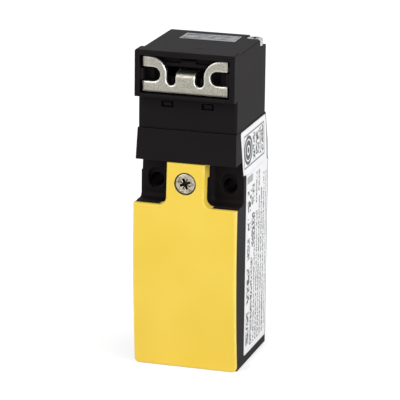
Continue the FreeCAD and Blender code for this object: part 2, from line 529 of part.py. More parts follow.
# ---- contact block -------------------------------------------------------------------------
def contact_block():
    """Insulating block with a guide channel, two contact chambers and terminal barriers."""
    half = MOUTH_HALF_W - BLOCK_SIDE_GAP
    block = box(both(half), (BLOCK_FRONT_Y, BLOCK_REAR_Y), (BLOCK_BOTTOM_Z, BLOCK_TOP_Z))
    block = rounded(block, MOUTH_CORNER_R, lambda at, way: along(way, Y_AXIS) and at.z > BLOCK_TOP_Z - 0.01)
    front = (BLOCK_FRONT_Y - BARRIER_REACH, BLOCK_FRONT_Y + 1)
    top, wall_x = ROW_Z[-1] + STRIP_T + 0.6, CHAMBER_HALF_W - BARRIER_T / 2
    barriers = [box((side - BARRIER_T / 2, side + BARRIER_T / 2), front, (BLOCK_BOTTOM_Z + 3, top))
                for side in both(wall_x)]
    barriers += [box(ends, front, (level, level + BARRIER_T))
                 for ends in ((-half, -wall_x), (wall_x, half))
                 for level in (ROW_Z[0] + STRIP_T + BARRIER_LIFT, ROW_Z[1] + STRIP_T + BARRIER_LIFT)]
    block = fuse(block, *barriers)
    channel_w, channel_d = SLIDE_HALF_W + SLIDE_GAP, SLIDE_HALF_D + SLIDE_GAP
    depth = (TURN_Y - channel_d, TURN_Y + channel_d)
    cuts = [box(both(channel_w), depth, (BLOCK_BOTTOM_Z + 1.5, BLOCK_TOP_Z + 1))]
    for level in ROW_Z:
        bottom = level - TIP_T - BRIDGE_T - STROKE - 0.4
        cuts.append(box(both(CHAMBER_HALF_W - BARRIER_T), (-FAR, leg_rear_y() + 0.5),
                        (bottom, level + STRIP_T)))
        for x in both(TERMINAL_X):
            reach = (min(x, math.copysign(SLIDE_HALF_W, x)), max(x, math.copysign(SLIDE_HALF_W, x)))
            far = TERMINAL_SIZE / 2 + 0.1
            legs = (reach[0] - (far if x < 0 else 0), reach[1] + (far if x > 0 else 0))
            cuts.append(box(legs, (BLOCK_FRONT_Y - 1, leg_rear_y() + 0.1), (level, level + STRIP_T + 0.05)))
            cuts.append(rod(TERMINAL_SCREW_R + 0.05, V(x, -FAR, terminal_z(level)), Y_AXIS,
                            FAR + BLOCK_FRONT_Y + TERMINAL_SCREW_LENGTH))
    for x in both(POST_X):
        cuts.append(rod(BLOCK_SCREW_R + 0.2, V(x, -FAR, POST_Z), Y_AXIS, 2 * FAR))
        cuts.append(rod(BLOCK_SCREW_HEAD_R + 0.2, V(x, -FAR, POST_Z), Y_AXIS,
                        FAR + block_screw_y() + BLOCK_SCREW_HEAD_H))
    return block.cut(cuts)


def leg_rear_y():
    """How far back the fixed contacts reach."""
    return TURN_Y + BRIDGE_W / 2


def terminal_z(level):
    """Height of a terminal screw, below its contact's upper leg."""
    return level + STRIP_T - TERMINAL_SIZE / 2


def block_screw_y():
    """Front of the head of each screw that holds the contact block."""
    return BLOCK_REAR_Y - BLOCK_SCREW_LENGTH / 2 - BLOCK_SCREW_HEAD_H


def fixed_contact(x, level):
    """One bent strip: a terminal face with a leg that runs in to the bridge."""
    half = TERMINAL_SIZE / 2
    front = BLOCK_FRONT_Y - STRIP_T
    face = box((x - half, x + half), (front, BLOCK_FRONT_Y),
               (level + STRIP_T - TERMINAL_SIZE, level + STRIP_T))
    near = math.copysign(SLIDE_HALF_W + 0.5, x)
    ends = sorted((near, x + math.copysign(half, x)))
    leg = box(ends, (front, leg_rear_y()), (level, level + STRIP_T))
    hole = rod(TERMINAL_SCREW_R + 0.2, V(x, -FAR, terminal_z(level)), Y_AXIS, 2 * FAR)
    return fuse(face, leg).cut(hole)


def terminals():
    """Places of the four terminals: x and contact height."""
    return [(x, level) for level in ROW_Z for x in both(TERMINAL_X)]


def fixed_contacts():
    """The four fixed contacts."""
    return Part.makeCompound([fixed_contact(x, level) for x, level in terminals()])


def fixed_contact_tips():
    """Silver rivets under the inner ends of the fixed contacts."""
    return Part.makeCompound([rod(TIP_R, V(x, TURN_Y, level - TIP_T / 2), Z_AXIS, TIP_T / 2)
                              for level in ROW_Z for x in both(TIP_X)])


def terminal_clamps():
    """Square clamping plates with two turned-up edges, one per terminal."""
    plates = []
    half = TERMINAL_SIZE / 2 - 0.3
    for x, level in terminals():
        back = BLOCK_FRONT_Y - STRIP_T
        z = terminal_z(level)
        plate = box((x - half, x + half), (back - CLAMP_T, back), (z - half, z + half))
        edges = [box((x + side * half - (0.5 if side > 0 else 0), x + side * half + (0.5 if side < 0 else 0)),
                     (back - 2 * CLAMP_T, back), (z - half, z + half)) for side in (-1, 1)]
        hole = rod(TERMINAL_SCREW_R + 0.15, V(x, -FAR, z), Y_AXIS, 2 * FAR)
        plates.append(fuse(plate, *edges).cut(hole))
    return Part.makeCompound(plates)


def terminal_screws():
    """One clamping screw per terminal."""
    top = BLOCK_FRONT_Y - STRIP_T - CLAMP_T - TERMINAL_HEAD_H
    reach = TERMINAL_HEAD_H + TERMINAL_SCREW_LENGTH
    screws = [screw(TERMINAL_HEAD_R, TERMINAL_HEAD_H, TERMINAL_SCREW_R, reach, V(x, top, terminal_z(level)),
                    Y_AXIS, X_AXIS) for x, level in terminals()]
    return Part.makeCompound(screws)


def block_screws():
    """Two screws that hold the contact block on its posts."""
    return Part.makeCompound([screw(BLOCK_SCREW_HEAD_R, BLOCK_SCREW_HEAD_H, BLOCK_SCREW_R - 0.02,
                                    BLOCK_SCREW_LENGTH + BLOCK_SCREW_HEAD_H, V(x, block_screw_y(), POST_Z),
                                    Y_AXIS, X_AXIS) for x in both(POST_X)])


def bridge_top(level):
    """Top of a bridge's strip: its tips close the gap up to the fixed tips."""
    return level - TIP_T


def contact_slide():
    """Insulating carrier that the plunger pushes down, with a window for each bridge."""
    depth = (TURN_Y - SLIDE_HALF_D, TURN_Y + SLIDE_HALF_D)
    slide = box(both(SLIDE_HALF_W), depth, (SLIDE_BOTTOM_Z, PLUNGER_BOTTOM_Z - PUSH_GAP))
    slide = rounded(slide, 0.5, lambda at, way: along(way, Z_AXIS))
    seat_r = RETURN_SPRING_R + RETURN_WIRE_R + 0.15
    cuts = [rod(seat_r, V(0, TURN_Y, SLIDE_BOTTOM_Z), Z_AXIS, RETURN_SEAT_DEPTH)]
    for level in ROW_Z:
        top = bridge_top(level)
        window = (TURN_Y - BRIDGE_W / 2 - 0.1, TURN_Y + BRIDGE_W / 2 + 0.1)
        cuts.append(box(both(FAR), window, (top - BRIDGE_T - SPRING_WINDOW_H, top)))
    return slide.cut(cuts)


def contact_bridges():
    """The two moving bridges."""
    bridges = []
    for level in ROW_Z:
        top = bridge_top(level)
        strip = box(both(BRIDGE_HALF_L), (TURN_Y - BRIDGE_W / 2, TURN_Y + BRIDGE_W / 2),
                    (top - BRIDGE_T, top))
        bridges.append(rounded(strip, 0.8, lambda at, way: along(way, Z_AXIS)))
    return Part.makeCompound(bridges)


def bridge_tips():
    """Silver tips at both ends of each bridge."""
    reach = TIP_T / 2 - 0.05
    return Part.makeCompound([rod(TIP_R, V(x, TURN_Y, bridge_top(level)), Z_AXIS, reach)
                              for level in ROW_Z for x in both(TIP_X)])


def contact_springs():
    """A spring under each bridge, inside the slide's window."""
    return Part.makeCompound([coil(CONTACT_SPRING_R, CONTACT_WIRE_R,
                                   V(0, TURN_Y, bridge_top(level) - BRIDGE_T - SPRING_WINDOW_H),
                                   SPRING_WINDOW_H, CONTACT_TURNS) for level in ROW_Z])


def return_spring():
    """Spring that lifts the contact slide."""
    bottom = BLOCK_BOTTOM_Z + 1.5
    return coil(RETURN_SPRING_R, RETURN_WIRE_R, V(0, TURN_Y, bottom),
                SLIDE_BOTTOM_Z + RETURN_SEAT_DEPTH - bottom, RETURN_TURNS)


# ---- operating head ------------------------------------------------------------------------
def head_blank():
    """The head's outside, with its edges rounded and the rear corner cut away."""
    shape = box(both(HEAD_W / 2), (HEAD_FRONT_Y, HEAD_REAR_Y), (HEAD_BOTTOM_Z, HEAD_TOP_Z))
    shape = rounded(shape, 0.8, lambda at, way: along(way, Z_AXIS))
    shape = rounded(shape, 0.4, lambda at, way: at.z > HEAD_TOP_Z - 0.01)
    notch = [V(NOTCH_X, HEAD_REAR_Y, NOTCH_FLOOR_Z), V(HEAD_W / 2, NOTCH_Y, NOTCH_FLOOR_Z),
             V(FAR, NOTCH_Y, NOTCH_FLOOR_Z), V(FAR, FAR, NOTCH_FLOOR_Z), V(NOTCH_X, FAR, NOTCH_FLOOR_Z)]
    foot = V(HEAD_SCREW_X, HEAD_SCREW_Y, NOTCH_FLOOR_Z)
    around = rod(HEAD_SCREW_HEAD_R + HEAD_SCREW_GAP, foot, Z_AXIS, FAR)
    return shape.cut([prism(notch, V(0, 0, FAR)), around])


def plate_space(gap):
    """The room inside the head's skirt for its base plate, or with a gap the plate itself."""
    wall = BASE_PLATE_WALL + gap
    shape = box(both(HEAD_W / 2 - wall), (HEAD_FRONT_Y + wall, HEAD_REAR_Y - wall),
                (HEAD_BOTTOM_Z, HEAD_BOTTOM_Z + BASE_PLATE_T))
    return rounded(shape, 1.0, lambda at, way: along(way, Z_AXIS))


def cam_chamber():
    """The round chamber that the cam turns in, open down to the base plate."""
    half = CAM_W / 2 + CAM_SIDE_GAP
    radius = CAM_WALL_R + CAM_SWEEP_GAP
    drum = rod(radius, V(-half, TURN_Y, CAM_Z), X_AXIS, 2 * half)
    foot = box(both(half), (TURN_Y - radius, TURN_Y + radius), (HEAD_BOTTOM_Z, CAM_Z))
    return drum.fuse(foot)


def head_housing():
    """The moulded head: cam chamber, two actuator entries, snap pockets and corner notch."""
    keyway = box(both(TEE_W / 2 + KEYWAY_GAP), (-FAR, TURN_Y),
                 (TONGUE_TOP_Z - KEY_T - KEYWAY_GAP, TONGUE_TOP_Z + KEYWAY_GAP))
    funnel = box(both(FRAME_MOUTH_W / 2 - FUNNEL_IN), (-FAR, HEAD_FRONT_Y + FUNNEL_DEPTH),
                 (KEY_BOTTOM_Z + FUNNEL_SILL, TONGUE_TOP_Z + FUNNEL_LINTEL))
    window = box(both(WINDOW_W / 2), (WINDOW_Y - WINDOW_D / 2, WINDOW_Y + WINDOW_D / 2),
                 (HEAD_TOP_Z - PLUG_SINK - PLUG_T, FAR * 3))
    upper_way = box(both(TEE_W / 2 + KEYWAY_GAP), (WINDOW_Y - UPPER_WAY_HALF_D, WINDOW_Y + UPPER_WAY_HALF_D),
                    (CAM_Z, FAR * 3))
    pockets = [box((x - POCKET_W / 2, x + POCKET_W / 2), (-FAR, HEAD_FRONT_Y + POCKET_DEPTH),
                   (POCKET_Z - POCKET_H / 2, POCKET_Z + POCKET_H / 2)) for x in both(POCKET_X)]
    shaft_hole = rod(SHAFT_R, V(-SHAFT_LENGTH / 2, TURN_Y, CAM_Z), X_AXIS, SHAFT_LENGTH)
    screw_hole = rod(HEAD_SCREW_R, V(HEAD_SCREW_X, HEAD_SCREW_Y, 0), Z_AXIS, FAR * 3)
    shape = head_blank().cut([plate_space(0), cam_chamber(), keyway, funnel, window, upper_way, shaft_hole,
                              screw_hole] + pockets)
    hooks = [box((x - 1.1, x + 1.1), (HEAD_FRONT_Y + 0.4, HEAD_FRONT_Y + POCKET_DEPTH + 0.5),
                 (POCKET_Z - 0.5, POCKET_Z + 0.5)) for x in both(POCKET_X)]
    return fuse(shape, *hooks)


def head_base():
    """Base plate of the head with the bayonet spigot that turns in the collar."""
    plate = plate_space(0.1)
    spigot = rod(SPIGOT_R, V(0, TURN_Y, SPIGOT_BOTTOM_Z), Z_AXIS, HEAD_BOTTOM_Z - SPIGOT_BOTTOM_Z + 0.5)
    lugs = []
    for number in range(LUG_COUNT):
        lug = Part.makeCylinder(LUG_R, LUG_H, V(0, TURN_Y, SPIGOT_BOTTOM_Z), Z_AXIS, LUG_ARC)
        lug.rotate(V(0, TURN_Y, 0), Z_AXIS, (number + 0.5) * 360 / LUG_COUNT - LUG_ARC / 2)
        lugs.append(lug)
    guide = rod(PLUNGER_R + PLUNGER_GAP, V(0, TURN_Y, 0), Z_AXIS, FAR * 3)
    screw_hole = rod(HEAD_SCREW_R, V(HEAD_SCREW_X, HEAD_SCREW_Y, 0), Z_AXIS, FAR * 3)
    return fuse(plate, spigot, *lugs).cut([guide, screw_hole])


def entry_frame():
    """Frame around the actuator's plate, with a lip on the head's top and a block at each slot."""
    ring = box(both(FRAME_W / 2), (FRAME_FRONT_Y, HEAD_FRONT_Y), (FRAME_BOTTOM_Z, FRAME_TOP_Z))
    lap = box(both(FRAME_W / 2), (HEAD_FRONT_Y, HEAD_FRONT_Y + FRAME_LAP), (HEAD_TOP_Z, FRAME_TOP_Z))
    ring = fuse(ring, lap)
    ring = rounded(ring, 0.5, lambda at, way: at.y < FRAME_FRONT_Y + 0.01 or (along(way, X_AXIS)
                   and at.z > FRAME_TOP_Z - 0.01) or (along(way, Y_AXIS) and at.z > FRAME_TOP_Z - 0.01))
    opening = mouth(FRAME_MOUTH_W / 2, FRAME_MOUTH_BOTTOM_Z, FRAME_MOUTH_TOP_Z, 0.5)
    ring = ring.cut(opening)
    blocks = []
    for side in (-1, 1):
        ends = sorted((side * (FRAME_MOUTH_W / 2 + 0.3), side * (FRAME_MOUTH_W / 2 - FRAME_BLOCK_REACH)))
        blocks.append(box(ends, (FRAME_FRONT_Y + 0.5, HEAD_FRONT_Y),
                          (KEY_SLOT_Z - FRAME_BLOCK_H / 2, KEY_SLOT_Z + FRAME_BLOCK_H / 2)))
    return fuse(ring, *blocks)


def top_blanking():
    """Plug that closes the upper actuator entry."""
    half_w, half_d = WINDOW_W / 2 - PLUG_GAP, WINDOW_D / 2 - PLUG_GAP
    top = HEAD_TOP_Z - PLUG_SINK
    plate = box(both(half_w), (WINDOW_Y - half_d, WINDOW_Y + half_d), (top - PLUG_T, top))
    plate = rounded(plate, 0.3, lambda at, way: at.z > top - 0.01)
    half = TEE_W / 2 + KEYWAY_GAP - PLUG_GAP
    stem = box(both(half), (WINDOW_Y - PLUG_STEM_HALF_D, WINDOW_Y + PLUG_STEM_HALF_D),
               (top - PLUG_T - PLUG_STEM_H, top - PLUG_T))
    return fuse(plate, stem)


def head_screw():
    """Upright screw in the rear corner notch, down into the base plate."""
    top = V(HEAD_SCREW_X, HEAD_SCREW_Y, NOTCH_FLOOR_Z + HEAD_SCREW_HEAD_H)
    return screw(HEAD_SCREW_HEAD_R, HEAD_SCREW_HEAD_H, HEAD_SCREW_R, top.z - HEAD_BOTTOM_Z - 0.3, top,
                 -Z_AXIS, X_AXIS)


def cam_shaft():
    """Steel pin that the cam turns on."""
    return rod(SHAFT_R, V(-SHAFT_LENGTH / 2, TURN_Y, CAM_Z), X_AXIS, SHAFT_LENGTH)


def cam_point(angle, radius):
    """A point of the cam's outline; the angle runs from the top towards the front."""
    turn = math.radians(angle)
    return V(-CAM_W / 2, TURN_Y - radius * math.sin(turn), CAM_Z + radius * math.cos(turn))


def cam_radius(angle):
    """Lower half of the cam: a steady rise towards the front, a faster one to the back."""
    if angle <= 180:
        return CAM_LOW_R + (CAM_HIGH_R - CAM_LOW_R) * (180 - angle) / CAM_TURN
    return CAM_LOW_R + (CAM_TOOTH_R - CAM_LOW_R) * (angle - 180) / 60


def cam_drum():
    """The cam: a wall that follows the tongue's end, a low tooth in front, a lifting curve below."""
    first, last = 180 - CAM_TURN, 240
    curve = [cam_point(angle, cam_radius(angle)) for angle in (first, (first + 180) / 2, 180, 210, last)]
    wall_y = TONGUE_TIP_Y + CAM_TOOTH_GAP
    low = CAM_Z + math.sqrt(CAM_TOOTH_R ** 2 - (wall_y - TURN_Y) ** 2)
    high = CAM_Z + math.sqrt(CAM_WALL_R ** 2 - (wall_y - TURN_Y) ** 2)
    back_y = wall_y + CAM_WALL_T
    back_high = CAM_Z + math.sqrt(CAM_WALL_R ** 2 - (back_y - TURN_Y) ** 2)
    x = -CAM_W / 2
    wall_low, wall_top = V(x, wall_y, low), V(x, wall_y, high)
    back_top = V(x, back_y, back_high)
    lean = math.degrees(math.atan2(wall_y - TURN_Y + CAM_WALL_T / 2, CAM_LEVER))
    front = cam_point(180 - CAM_TURN, CAM_TOOTH_R)
    edges = [Part.Arc(curve[0], curve[1], curve[2]).toShape(),
             Part.Arc(curve[2], curve[3], curve[4]).toShape(),
             Part.Arc(curve[-1], cam_point(270, CAM_TOOTH_R), cam_point(300, CAM_TOOTH_R)).toShape(),
             Part.LineSegment(cam_point(300, CAM_TOOTH_R), back_top).toShape(),
             Part.Arc(back_top, cam_point(-lean, CAM_WALL_R), wall_top).toShape(),
             Part.LineSegment(wall_top, wall_low).toShape(),
             Part.Arc(wall_low, cam_point(30, CAM_TOOTH_R), front).toShape(),
             Part.LineSegment(front, curve[0]).toShape()]
    drum = Part.Face(Part.Wire(Part.__sortEdges__(edges))).extrude(V(CAM_W, 0, 0))
    return drum.cut(rod(SHAFT_R + SHAFT_GAP, V(-CAM_W, TURN_Y, CAM_Z), X_AXIS, 2 * CAM_W))


def plunger():
    """Round-nosed steel pin between the cam and the contact slide."""
    nose = V(0, TURN_Y, PLUNGER_TOP_Z - PLUNGER_R)
    pin = rod(PLUNGER_R, V(0, TURN_Y, PLUNGER_BOTTOM_Z), Z_AXIS, nose.z - PLUNGER_BOTTOM_Z)
    return fuse(pin, Part.makeSphere(PLUNGER_R, nose, Z_AXIS, 0, 90, 360))


def plunger_seal():
    """Rubber ring around the plunger in the floor of the collar's socket."""
    start = V(0, TURN_Y, SPIGOT_BOTTOM_Z - LUG_GAP - SEAL_T)
    return tube(SEAL_R - 0.05, PLUNGER_R + PLUNGER_GAP, start, Z_AXIS, SEAL_T - 0.1)


# ---- actuator ------------------------------------------------------------------------------
def key_hook(side):
    """One end of the actuator's plate: an open slot in a rounded hook."""
    end, slot_r = side * KEY_W / 2, KEY_SLOT_H / 2
    slot_x = end - side * (KEY_SLOT_DEPTH - slot_r)
    band_x = end - side * (KEY_SLOT_DEPTH + KEY_BAND)
    ends = sorted((end, band_x))
    hook = box(ends, (KEY_FRONT_Y, KEY_FRONT_Y + KEY_T), (KEY_BOTTOM_Z, KEY_TOP_Z))
    hook = rounded(hook, KEY_ARC_R, lambda at, way: along(way, Y_AXIS) and abs(at.x - band_x) < 0.01
                   and at.z > KEY_SLOT_Z)
    slot_ends = sorted((slot_x, side * FAR))
    return hook.cut([rod(slot_r, V(slot_x, -FAR, KEY_SLOT_Z), Y_AXIS, FAR),
                     box(slot_ends, (-FAR, 0), (KEY_SLOT_Z - slot_r, KEY_SLOT_Z + slot_r))])


def actuator_key():
    """Bent steel actuator: flanged plate with two open slots and a T-ended tongue."""
    inner = KEY_W / 2 - KEY_SLOT_DEPTH - KEY_BAND
    window = (inner - TONGUE_W / 2) / 2
    back_y = KEY_FRONT_Y + KEY_T
    middle = box(both(inner), (KEY_FRONT_Y, back_y), (KEY_BOTTOM_Z, KEY_BOTTOM_Z + KEY_BAR + window))
    for x in both(TONGUE_W / 2 + window):
        middle = middle.cut(rod(window, V(x, -FAR, KEY_BOTTOM_Z + KEY_BAR + window), Y_AXIS, FAR))
    bend_z, bend_y = TONGUE_TOP_Z - TONGUE_BEND_R, KEY_FRONT_Y + TONGUE_BEND_R
    upright = box(both(TONGUE_W / 2), (KEY_FRONT_Y, back_y), (KEY_BOTTOM_Z + 1, bend_z))
    bend = tube(TONGUE_BEND_R, TONGUE_BEND_R - KEY_T, V(-TONGUE_W / 2, bend_y, bend_z), X_AXIS, TONGUE_W)
    bend = bend.common(box(both(FAR), (KEY_FRONT_Y - 1, bend_y), (bend_z, FAR * 3)))
    level = (TONGUE_TOP_Z - KEY_T, TONGUE_TOP_Z)
    neck = box(both(TONGUE_W / 2), (bend_y, TONGUE_TIP_Y - 1), level)
    tee = box(both(TEE_W / 2), (TONGUE_TIP_Y - TEE_LENGTH, TONGUE_TIP_Y), level)
    tee = rounded(tee, 0.8, lambda at, way: along(way, Z_AXIS))
    return fuse(key_hook(-1), middle, key_hook(1), upright, bend, neck, tee)


# ---- every piece ---------------------------------------------------------------------------
PIECES = {
    "base_housing": base_housing, "side_label": side_label, "cover_insert": cover_insert,
    "contact_block": contact_block, "fixed_contacts": fixed_contacts,
    "fixed_contact_tips": fixed_contact_tips, "terminal_clamps": terminal_clamps,
    "terminal_screws": terminal_screws, "block_screws": block_screws, "plunger_seal": plunger_seal,
    "return_spring": return_spring, "contact_slide": contact_slide, "contact_bridges": contact_bridges,
    "bridge_tips": bridge_tips, "contact_springs": contact_springs,
    "head_housing": head_housing, "head_base": head_base, "entry_frame": entry_frame,
    "top_blanking": top_blanking, "head_screw": head_screw, "cam_shaft": cam_shaft,
    "cam_drum": cam_drum, "plunger": plunger, "actuator_key": actuator_key,
    "front_cover": front_cover, "cover_gasket": cover_gasket, "cover_screw": cover_screw,
    "cover_screw_seal": cover_screw_seal,
}


def main():
    os.makedirs("parts", exist_ok=True)
    for name, build in PIECES.items():
        shape = only_solid(build())
        size = shape.BoundBox
        print(f"{name:20s} solids {len(shape.Solids)} valid {shape.isValid()} volume {shape.Volume:9.2f} "
              f"x {size.XMin:.2f} {size.XMax:.2f} y {size.YMin:.2f} {size.YMax:.2f} "
              f"z {size.ZMin:.2f} {size.ZMax:.2f}")
        shape.exportStep(f"parts/{name}.step")


main()
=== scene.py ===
"""A tongue-operated safety switch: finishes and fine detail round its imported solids."""

import logging
import math
from dataclasses import dataclass
from enum import Enum
from typing import Any, Callable, Optional, Union

import bpy
from mathutils import Matrix, Vector


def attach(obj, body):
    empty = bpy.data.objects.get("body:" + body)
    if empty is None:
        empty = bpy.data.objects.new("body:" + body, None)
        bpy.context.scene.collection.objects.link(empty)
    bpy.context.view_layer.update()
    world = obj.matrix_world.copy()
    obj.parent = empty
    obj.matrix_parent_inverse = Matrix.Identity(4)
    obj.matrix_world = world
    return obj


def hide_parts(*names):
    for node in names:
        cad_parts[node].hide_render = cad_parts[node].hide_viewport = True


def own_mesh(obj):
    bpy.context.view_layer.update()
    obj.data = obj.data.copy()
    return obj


Tree = bpy.types.NodeTree
Socket = bpy.types.NodeSocket
Material = bpy.types.Material
Piece = bpy.types.Object
Pair = tuple[float, float]
Triple = tuple[float, float, float]

MM = 0.001
MIX_AMOUNT, MIX_FIRST, MIX_SECOND, MIX_RESULT = 0, 6, 7, 2  # sockets of a colour mix
BEVEL_SAMPLES = 6
EDGE_LEAN = (0.98, 0.80)  # a rounded normal's share along the flat one, from face to full edge
CLOUD_SPAN = (0.35, 0.65)  # where most of a noise pattern's values lie
GRAIN_SPAN = (0.3, 0.7)
DISC_SIDES = 40
STRAIGHT = 0.9  # a face looks along an axis when its normal's share of it is larger
SMOOTH_ANGLE = 32.0  # edges below this angle, in degrees, are shaded smooth
log = logging.getLogger("switch")
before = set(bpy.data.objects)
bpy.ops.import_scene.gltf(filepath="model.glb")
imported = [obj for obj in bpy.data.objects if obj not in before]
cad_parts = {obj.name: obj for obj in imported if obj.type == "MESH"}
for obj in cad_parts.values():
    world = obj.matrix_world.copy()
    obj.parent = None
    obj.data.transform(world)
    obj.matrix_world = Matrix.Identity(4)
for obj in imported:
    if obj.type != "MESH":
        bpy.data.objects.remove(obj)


# ---- small helpers ---------------------------------------------------------------------------
def linear(shade: str) -> tuple[float, float, float, float]:
    """Turn an sRGB hex value into the linear colour that a socket takes.

    Args:
        shade: Six hex digits.

    Returns:
        Red, green, blue and an alpha of one.
    """
    parts = [int(shade[at:at + 2], 16) / 255 for at in (0, 2, 4)]
    red, green, blue = [part / 12.92 if part <= 0.04045 else ((part + 0.055) / 1.055) ** 2.4
                        for part in parts]
    return red, green, blue, 1.0


def add_node(tree: Tree, kind: str, inputs: Optional[dict] = None,
             **settings: Any) -> bpy.types.Node:
    """Add one shader node with its settings, values and links.

    Args:
        tree: The material's or world's node tree.
        kind: The node's type.
        inputs: Values or other nodes' outputs by input name or number.
        settings: The node's own properties.

    Returns:
        The new node.
    """
    node = tree.nodes.new(kind)
    for name, value in settings.items():
        setattr(node, name, value)
    for key, value in (inputs or {}).items():
        if isinstance(value, Socket):
            tree.links.new(value, node.inputs[key])
        else:
            node.inputs[key].default_value = value
    return node


def blank_material(name: str) -> tuple[Material, Tree, Socket]:
    """Start a material with no nodes but the object's own coordinates.

    Args:
        name: The material's name.

    Returns:
        The material, its tree and the Object coordinate socket.
    """
    material = bpy.data.materials.new(name)
    material.use_nodes = True
    tree = material.node_tree
    tree.nodes.clear()
    place = add_node(tree, "ShaderNodeTexCoord").outputs["Object"]
    return material, tree, place


def noise(tree: Tree, place: Socket, size_mm: float, detail: float = 2.0,
          rough: float = 0.5) -> Socket:
    """Add a noise pattern whose features are a real size.

    Args:
        tree: The node tree.
        place: Coordinates in metres.
        size_mm: Size of one feature in millimetres.
        detail: Octaves of finer noise.
        rough: How strong the finer noise is.

    Returns:
        The pattern's value socket.
    """
    return add_node(tree, "ShaderNodeTexNoise", {
        "Vector": place, "Scale": 1 / (size_mm * MM), "Detail": detail, "Roughness": rough}).outputs["Fac"]


def ramp(tree: Tree, value: Socket, low: float, high: float, start: float = 0.0,
         end: float = 1.0) -> Socket:
    """Map a range of values onto another, clamped.

    Args:
        tree: The node tree.
        value: What is mapped.
        low: Value that gives start.
        high: Value that gives end.
        start: Result at low.
        end: Result at high.

    Returns:
        The mapped value's socket.
    """
    return add_node(tree, "ShaderNodeMapRange", {
        "Value": value, "From Min": low, "From Max": high, "To Min": start, "To Max": end}).outputs["Result"]


def blend(tree: Tree, amount: Socket, first: Union[str, Socket], second: Union[str, Socket]) -> Socket:
    """Mix two colours.

    Args:
        tree: The node tree.
        amount: 0 gives the first colour and 1 the second.
        first: An sRGB hex value or a colour socket.
        second: The same for the other end.

    Returns:
        The colour's socket.
    """
    start_colour, end_colour = [linear(end) if isinstance(end, str) else end for end in (first, second)]
    mix = add_node(tree, "ShaderNodeMix",
                   {MIX_AMOUNT: amount, MIX_FIRST: start_colour, MIX_SECOND: end_colour}, data_type="RGBA")
    return mix.outputs[MIX_RESULT]


def soft_edge(tree: Tree, radius_mm: float) -> Socket:
    """Add a normal that rounds sharp edges by a real radius.

    Args:
        tree: The node tree.
        radius_mm: Radius of the rounding in millimetres.

    Returns:
        The rounded normal's socket.
    """
    return add_node(tree, "ShaderNodeBevel", {"Radius": radius_mm * MM},
                    samples=BEVEL_SAMPLES).outputs["Normal"]


def highlight_mask(tree: Tree, rounded: Socket) -> Socket:
    """Tell how much a rounded normal leans away from the flat face, so that edges can get a painted
    highlight.

    Args:
        tree: The node tree.
        rounded: A normal from soft_edge.

    Returns:
        A value near 1 on edges and 0 on faces.
    """
    flat = add_node(tree, "ShaderNodeNewGeometry").outputs["True Normal"]
    lean = add_node(tree, "ShaderNodeVectorMath", {0: rounded, 1: flat}, operation="DOT_PRODUCT")
    return ramp(tree, lean.outputs["Value"], *EDGE_LEAN)


def close_shader(tree: Tree, bump: Socket, depth_mm: float, rounded: Socket, inputs: dict) -> None:
    """End a material with a principled shader and a bump of real depth.

    Args:
        tree: The node tree.
        bump: Height pattern from 0 to 1.
        depth_mm: Height of the bump in millimetres.
        rounded: The normal that the bump starts from.
        inputs: The shader's values and links.
    """
    normal = add_node(tree, "ShaderNodeBump", {
        "Height": bump, "Distance": depth_mm * MM, "Strength": 1.0, "Normal": rounded})
    shader = add_node(tree, "ShaderNodeBsdfPrincipled", {"Normal": normal.outputs["Normal"], **inputs})
    add_node(tree, "ShaderNodeOutputMaterial", {"Surface": shader.outputs["BSDF"]})


# ---- finishes ----------------------------------------------------------------------------------
@dataclass(frozen=True)
class Moulding:
    """Injection-moulded plastic with the texture of a spark-eroded tool, and a painted highlight on its
    edges.
    """

    name: str
    shade: str
    cloud_shade: str
    # edge_highlight: paler shade painted over the edges as a highlight.
    edge_highlight: str
    roughness: float
    gloss: float = 0.5
    grain_mm: float = 0.35
    grain_depth_mm: float = 0.012
    cloud_mm: float = 18.0
    edge_mm: float = 0.22
    swing: float = 0.05
    index: float = 1.53

    def material(self) -> Material:
        """Build the plastic's material.

        Returns:
            The material.
        """
        material, tree, place = blank_material(self.name)
        rounded = soft_edge(tree, self.edge_mm)
        cloud = noise(tree, place, self.cloud_mm, detail=1.0)
        body = blend(tree, ramp(tree, cloud, *CLOUD_SPAN), self.shade, self.cloud_shade)
        # Painted highlight: the edges get a paler shade.
        colour = blend(tree, highlight_mask(tree, rounded), body, self.edge_highlight)
        grain = noise(tree, place, self.grain_mm, detail=3.0, rough=0.6)
        rough = ramp(tree, grain, *GRAIN_SPAN, self.roughness - self.swing, self.roughness + self.swing)
        close_shader(tree, grain, self.grain_depth_mm, rounded, {
            "Base Color": colour, "Roughness": rough, "IOR": self.index, "Specular IOR Level": self.gloss})
        return material


@dataclass(frozen=True)
class BareMetal:
    """Metal with the mottle of its rolled, tumbled or plated surface, and a painted highlight on its edges.
    """

    name: str
    shade: str
    mottle_shade: str
    # edge_highlight: paler shade painted over the edges as a highlight.
    edge_highlight: str
    roughness: float
    mottle_mm: float = 1.2
    grain_mm: float = 0.15
    depth_mm: float = 0.004
    edge_mm: float = 0.15
    smoother: float = 0.06
    rougher: float = 0.08

    def material(self) -> Material:
        """Build the metal's material.

        Returns:
            The material.
        """
        material, tree, place = blank_material(self.name)
        rounded = soft_edge(tree, self.edge_mm)
        mottle = noise(tree, place, self.mottle_mm, detail=4.0, rough=0.65)
        face = blend(tree, ramp(tree, mottle, *CLOUD_SPAN), self.shade, self.mottle_shade)
        # Painted highlight: the edges get a paler shade.
        colour = blend(tree, highlight_mask(tree, rounded), face, self.edge_highlight)
        rough = ramp(tree, mottle, *GRAIN_SPAN, self.roughness - self.smoother,
                     self.roughness + self.rougher)
        close_shader(tree, noise(tree, place, self.grain_mm), self.depth_mm, rounded,
                     {"Base Color": colour, "Metallic": 1.0, "Roughness": rough})
        return material


class Ink(Enum):
    """How dark each kind of print is on the label."""

    HEAVY = 1.0
    PLAIN = 0.92
    FINE = 0.75


@dataclass(frozen=True)
class TextColumn:
    """One line of unreadable filler print that runs up the label."""

    middle_y: float
    height: float
    low_z: float
    high_z: float
    ink: Ink = Ink.PLAIN


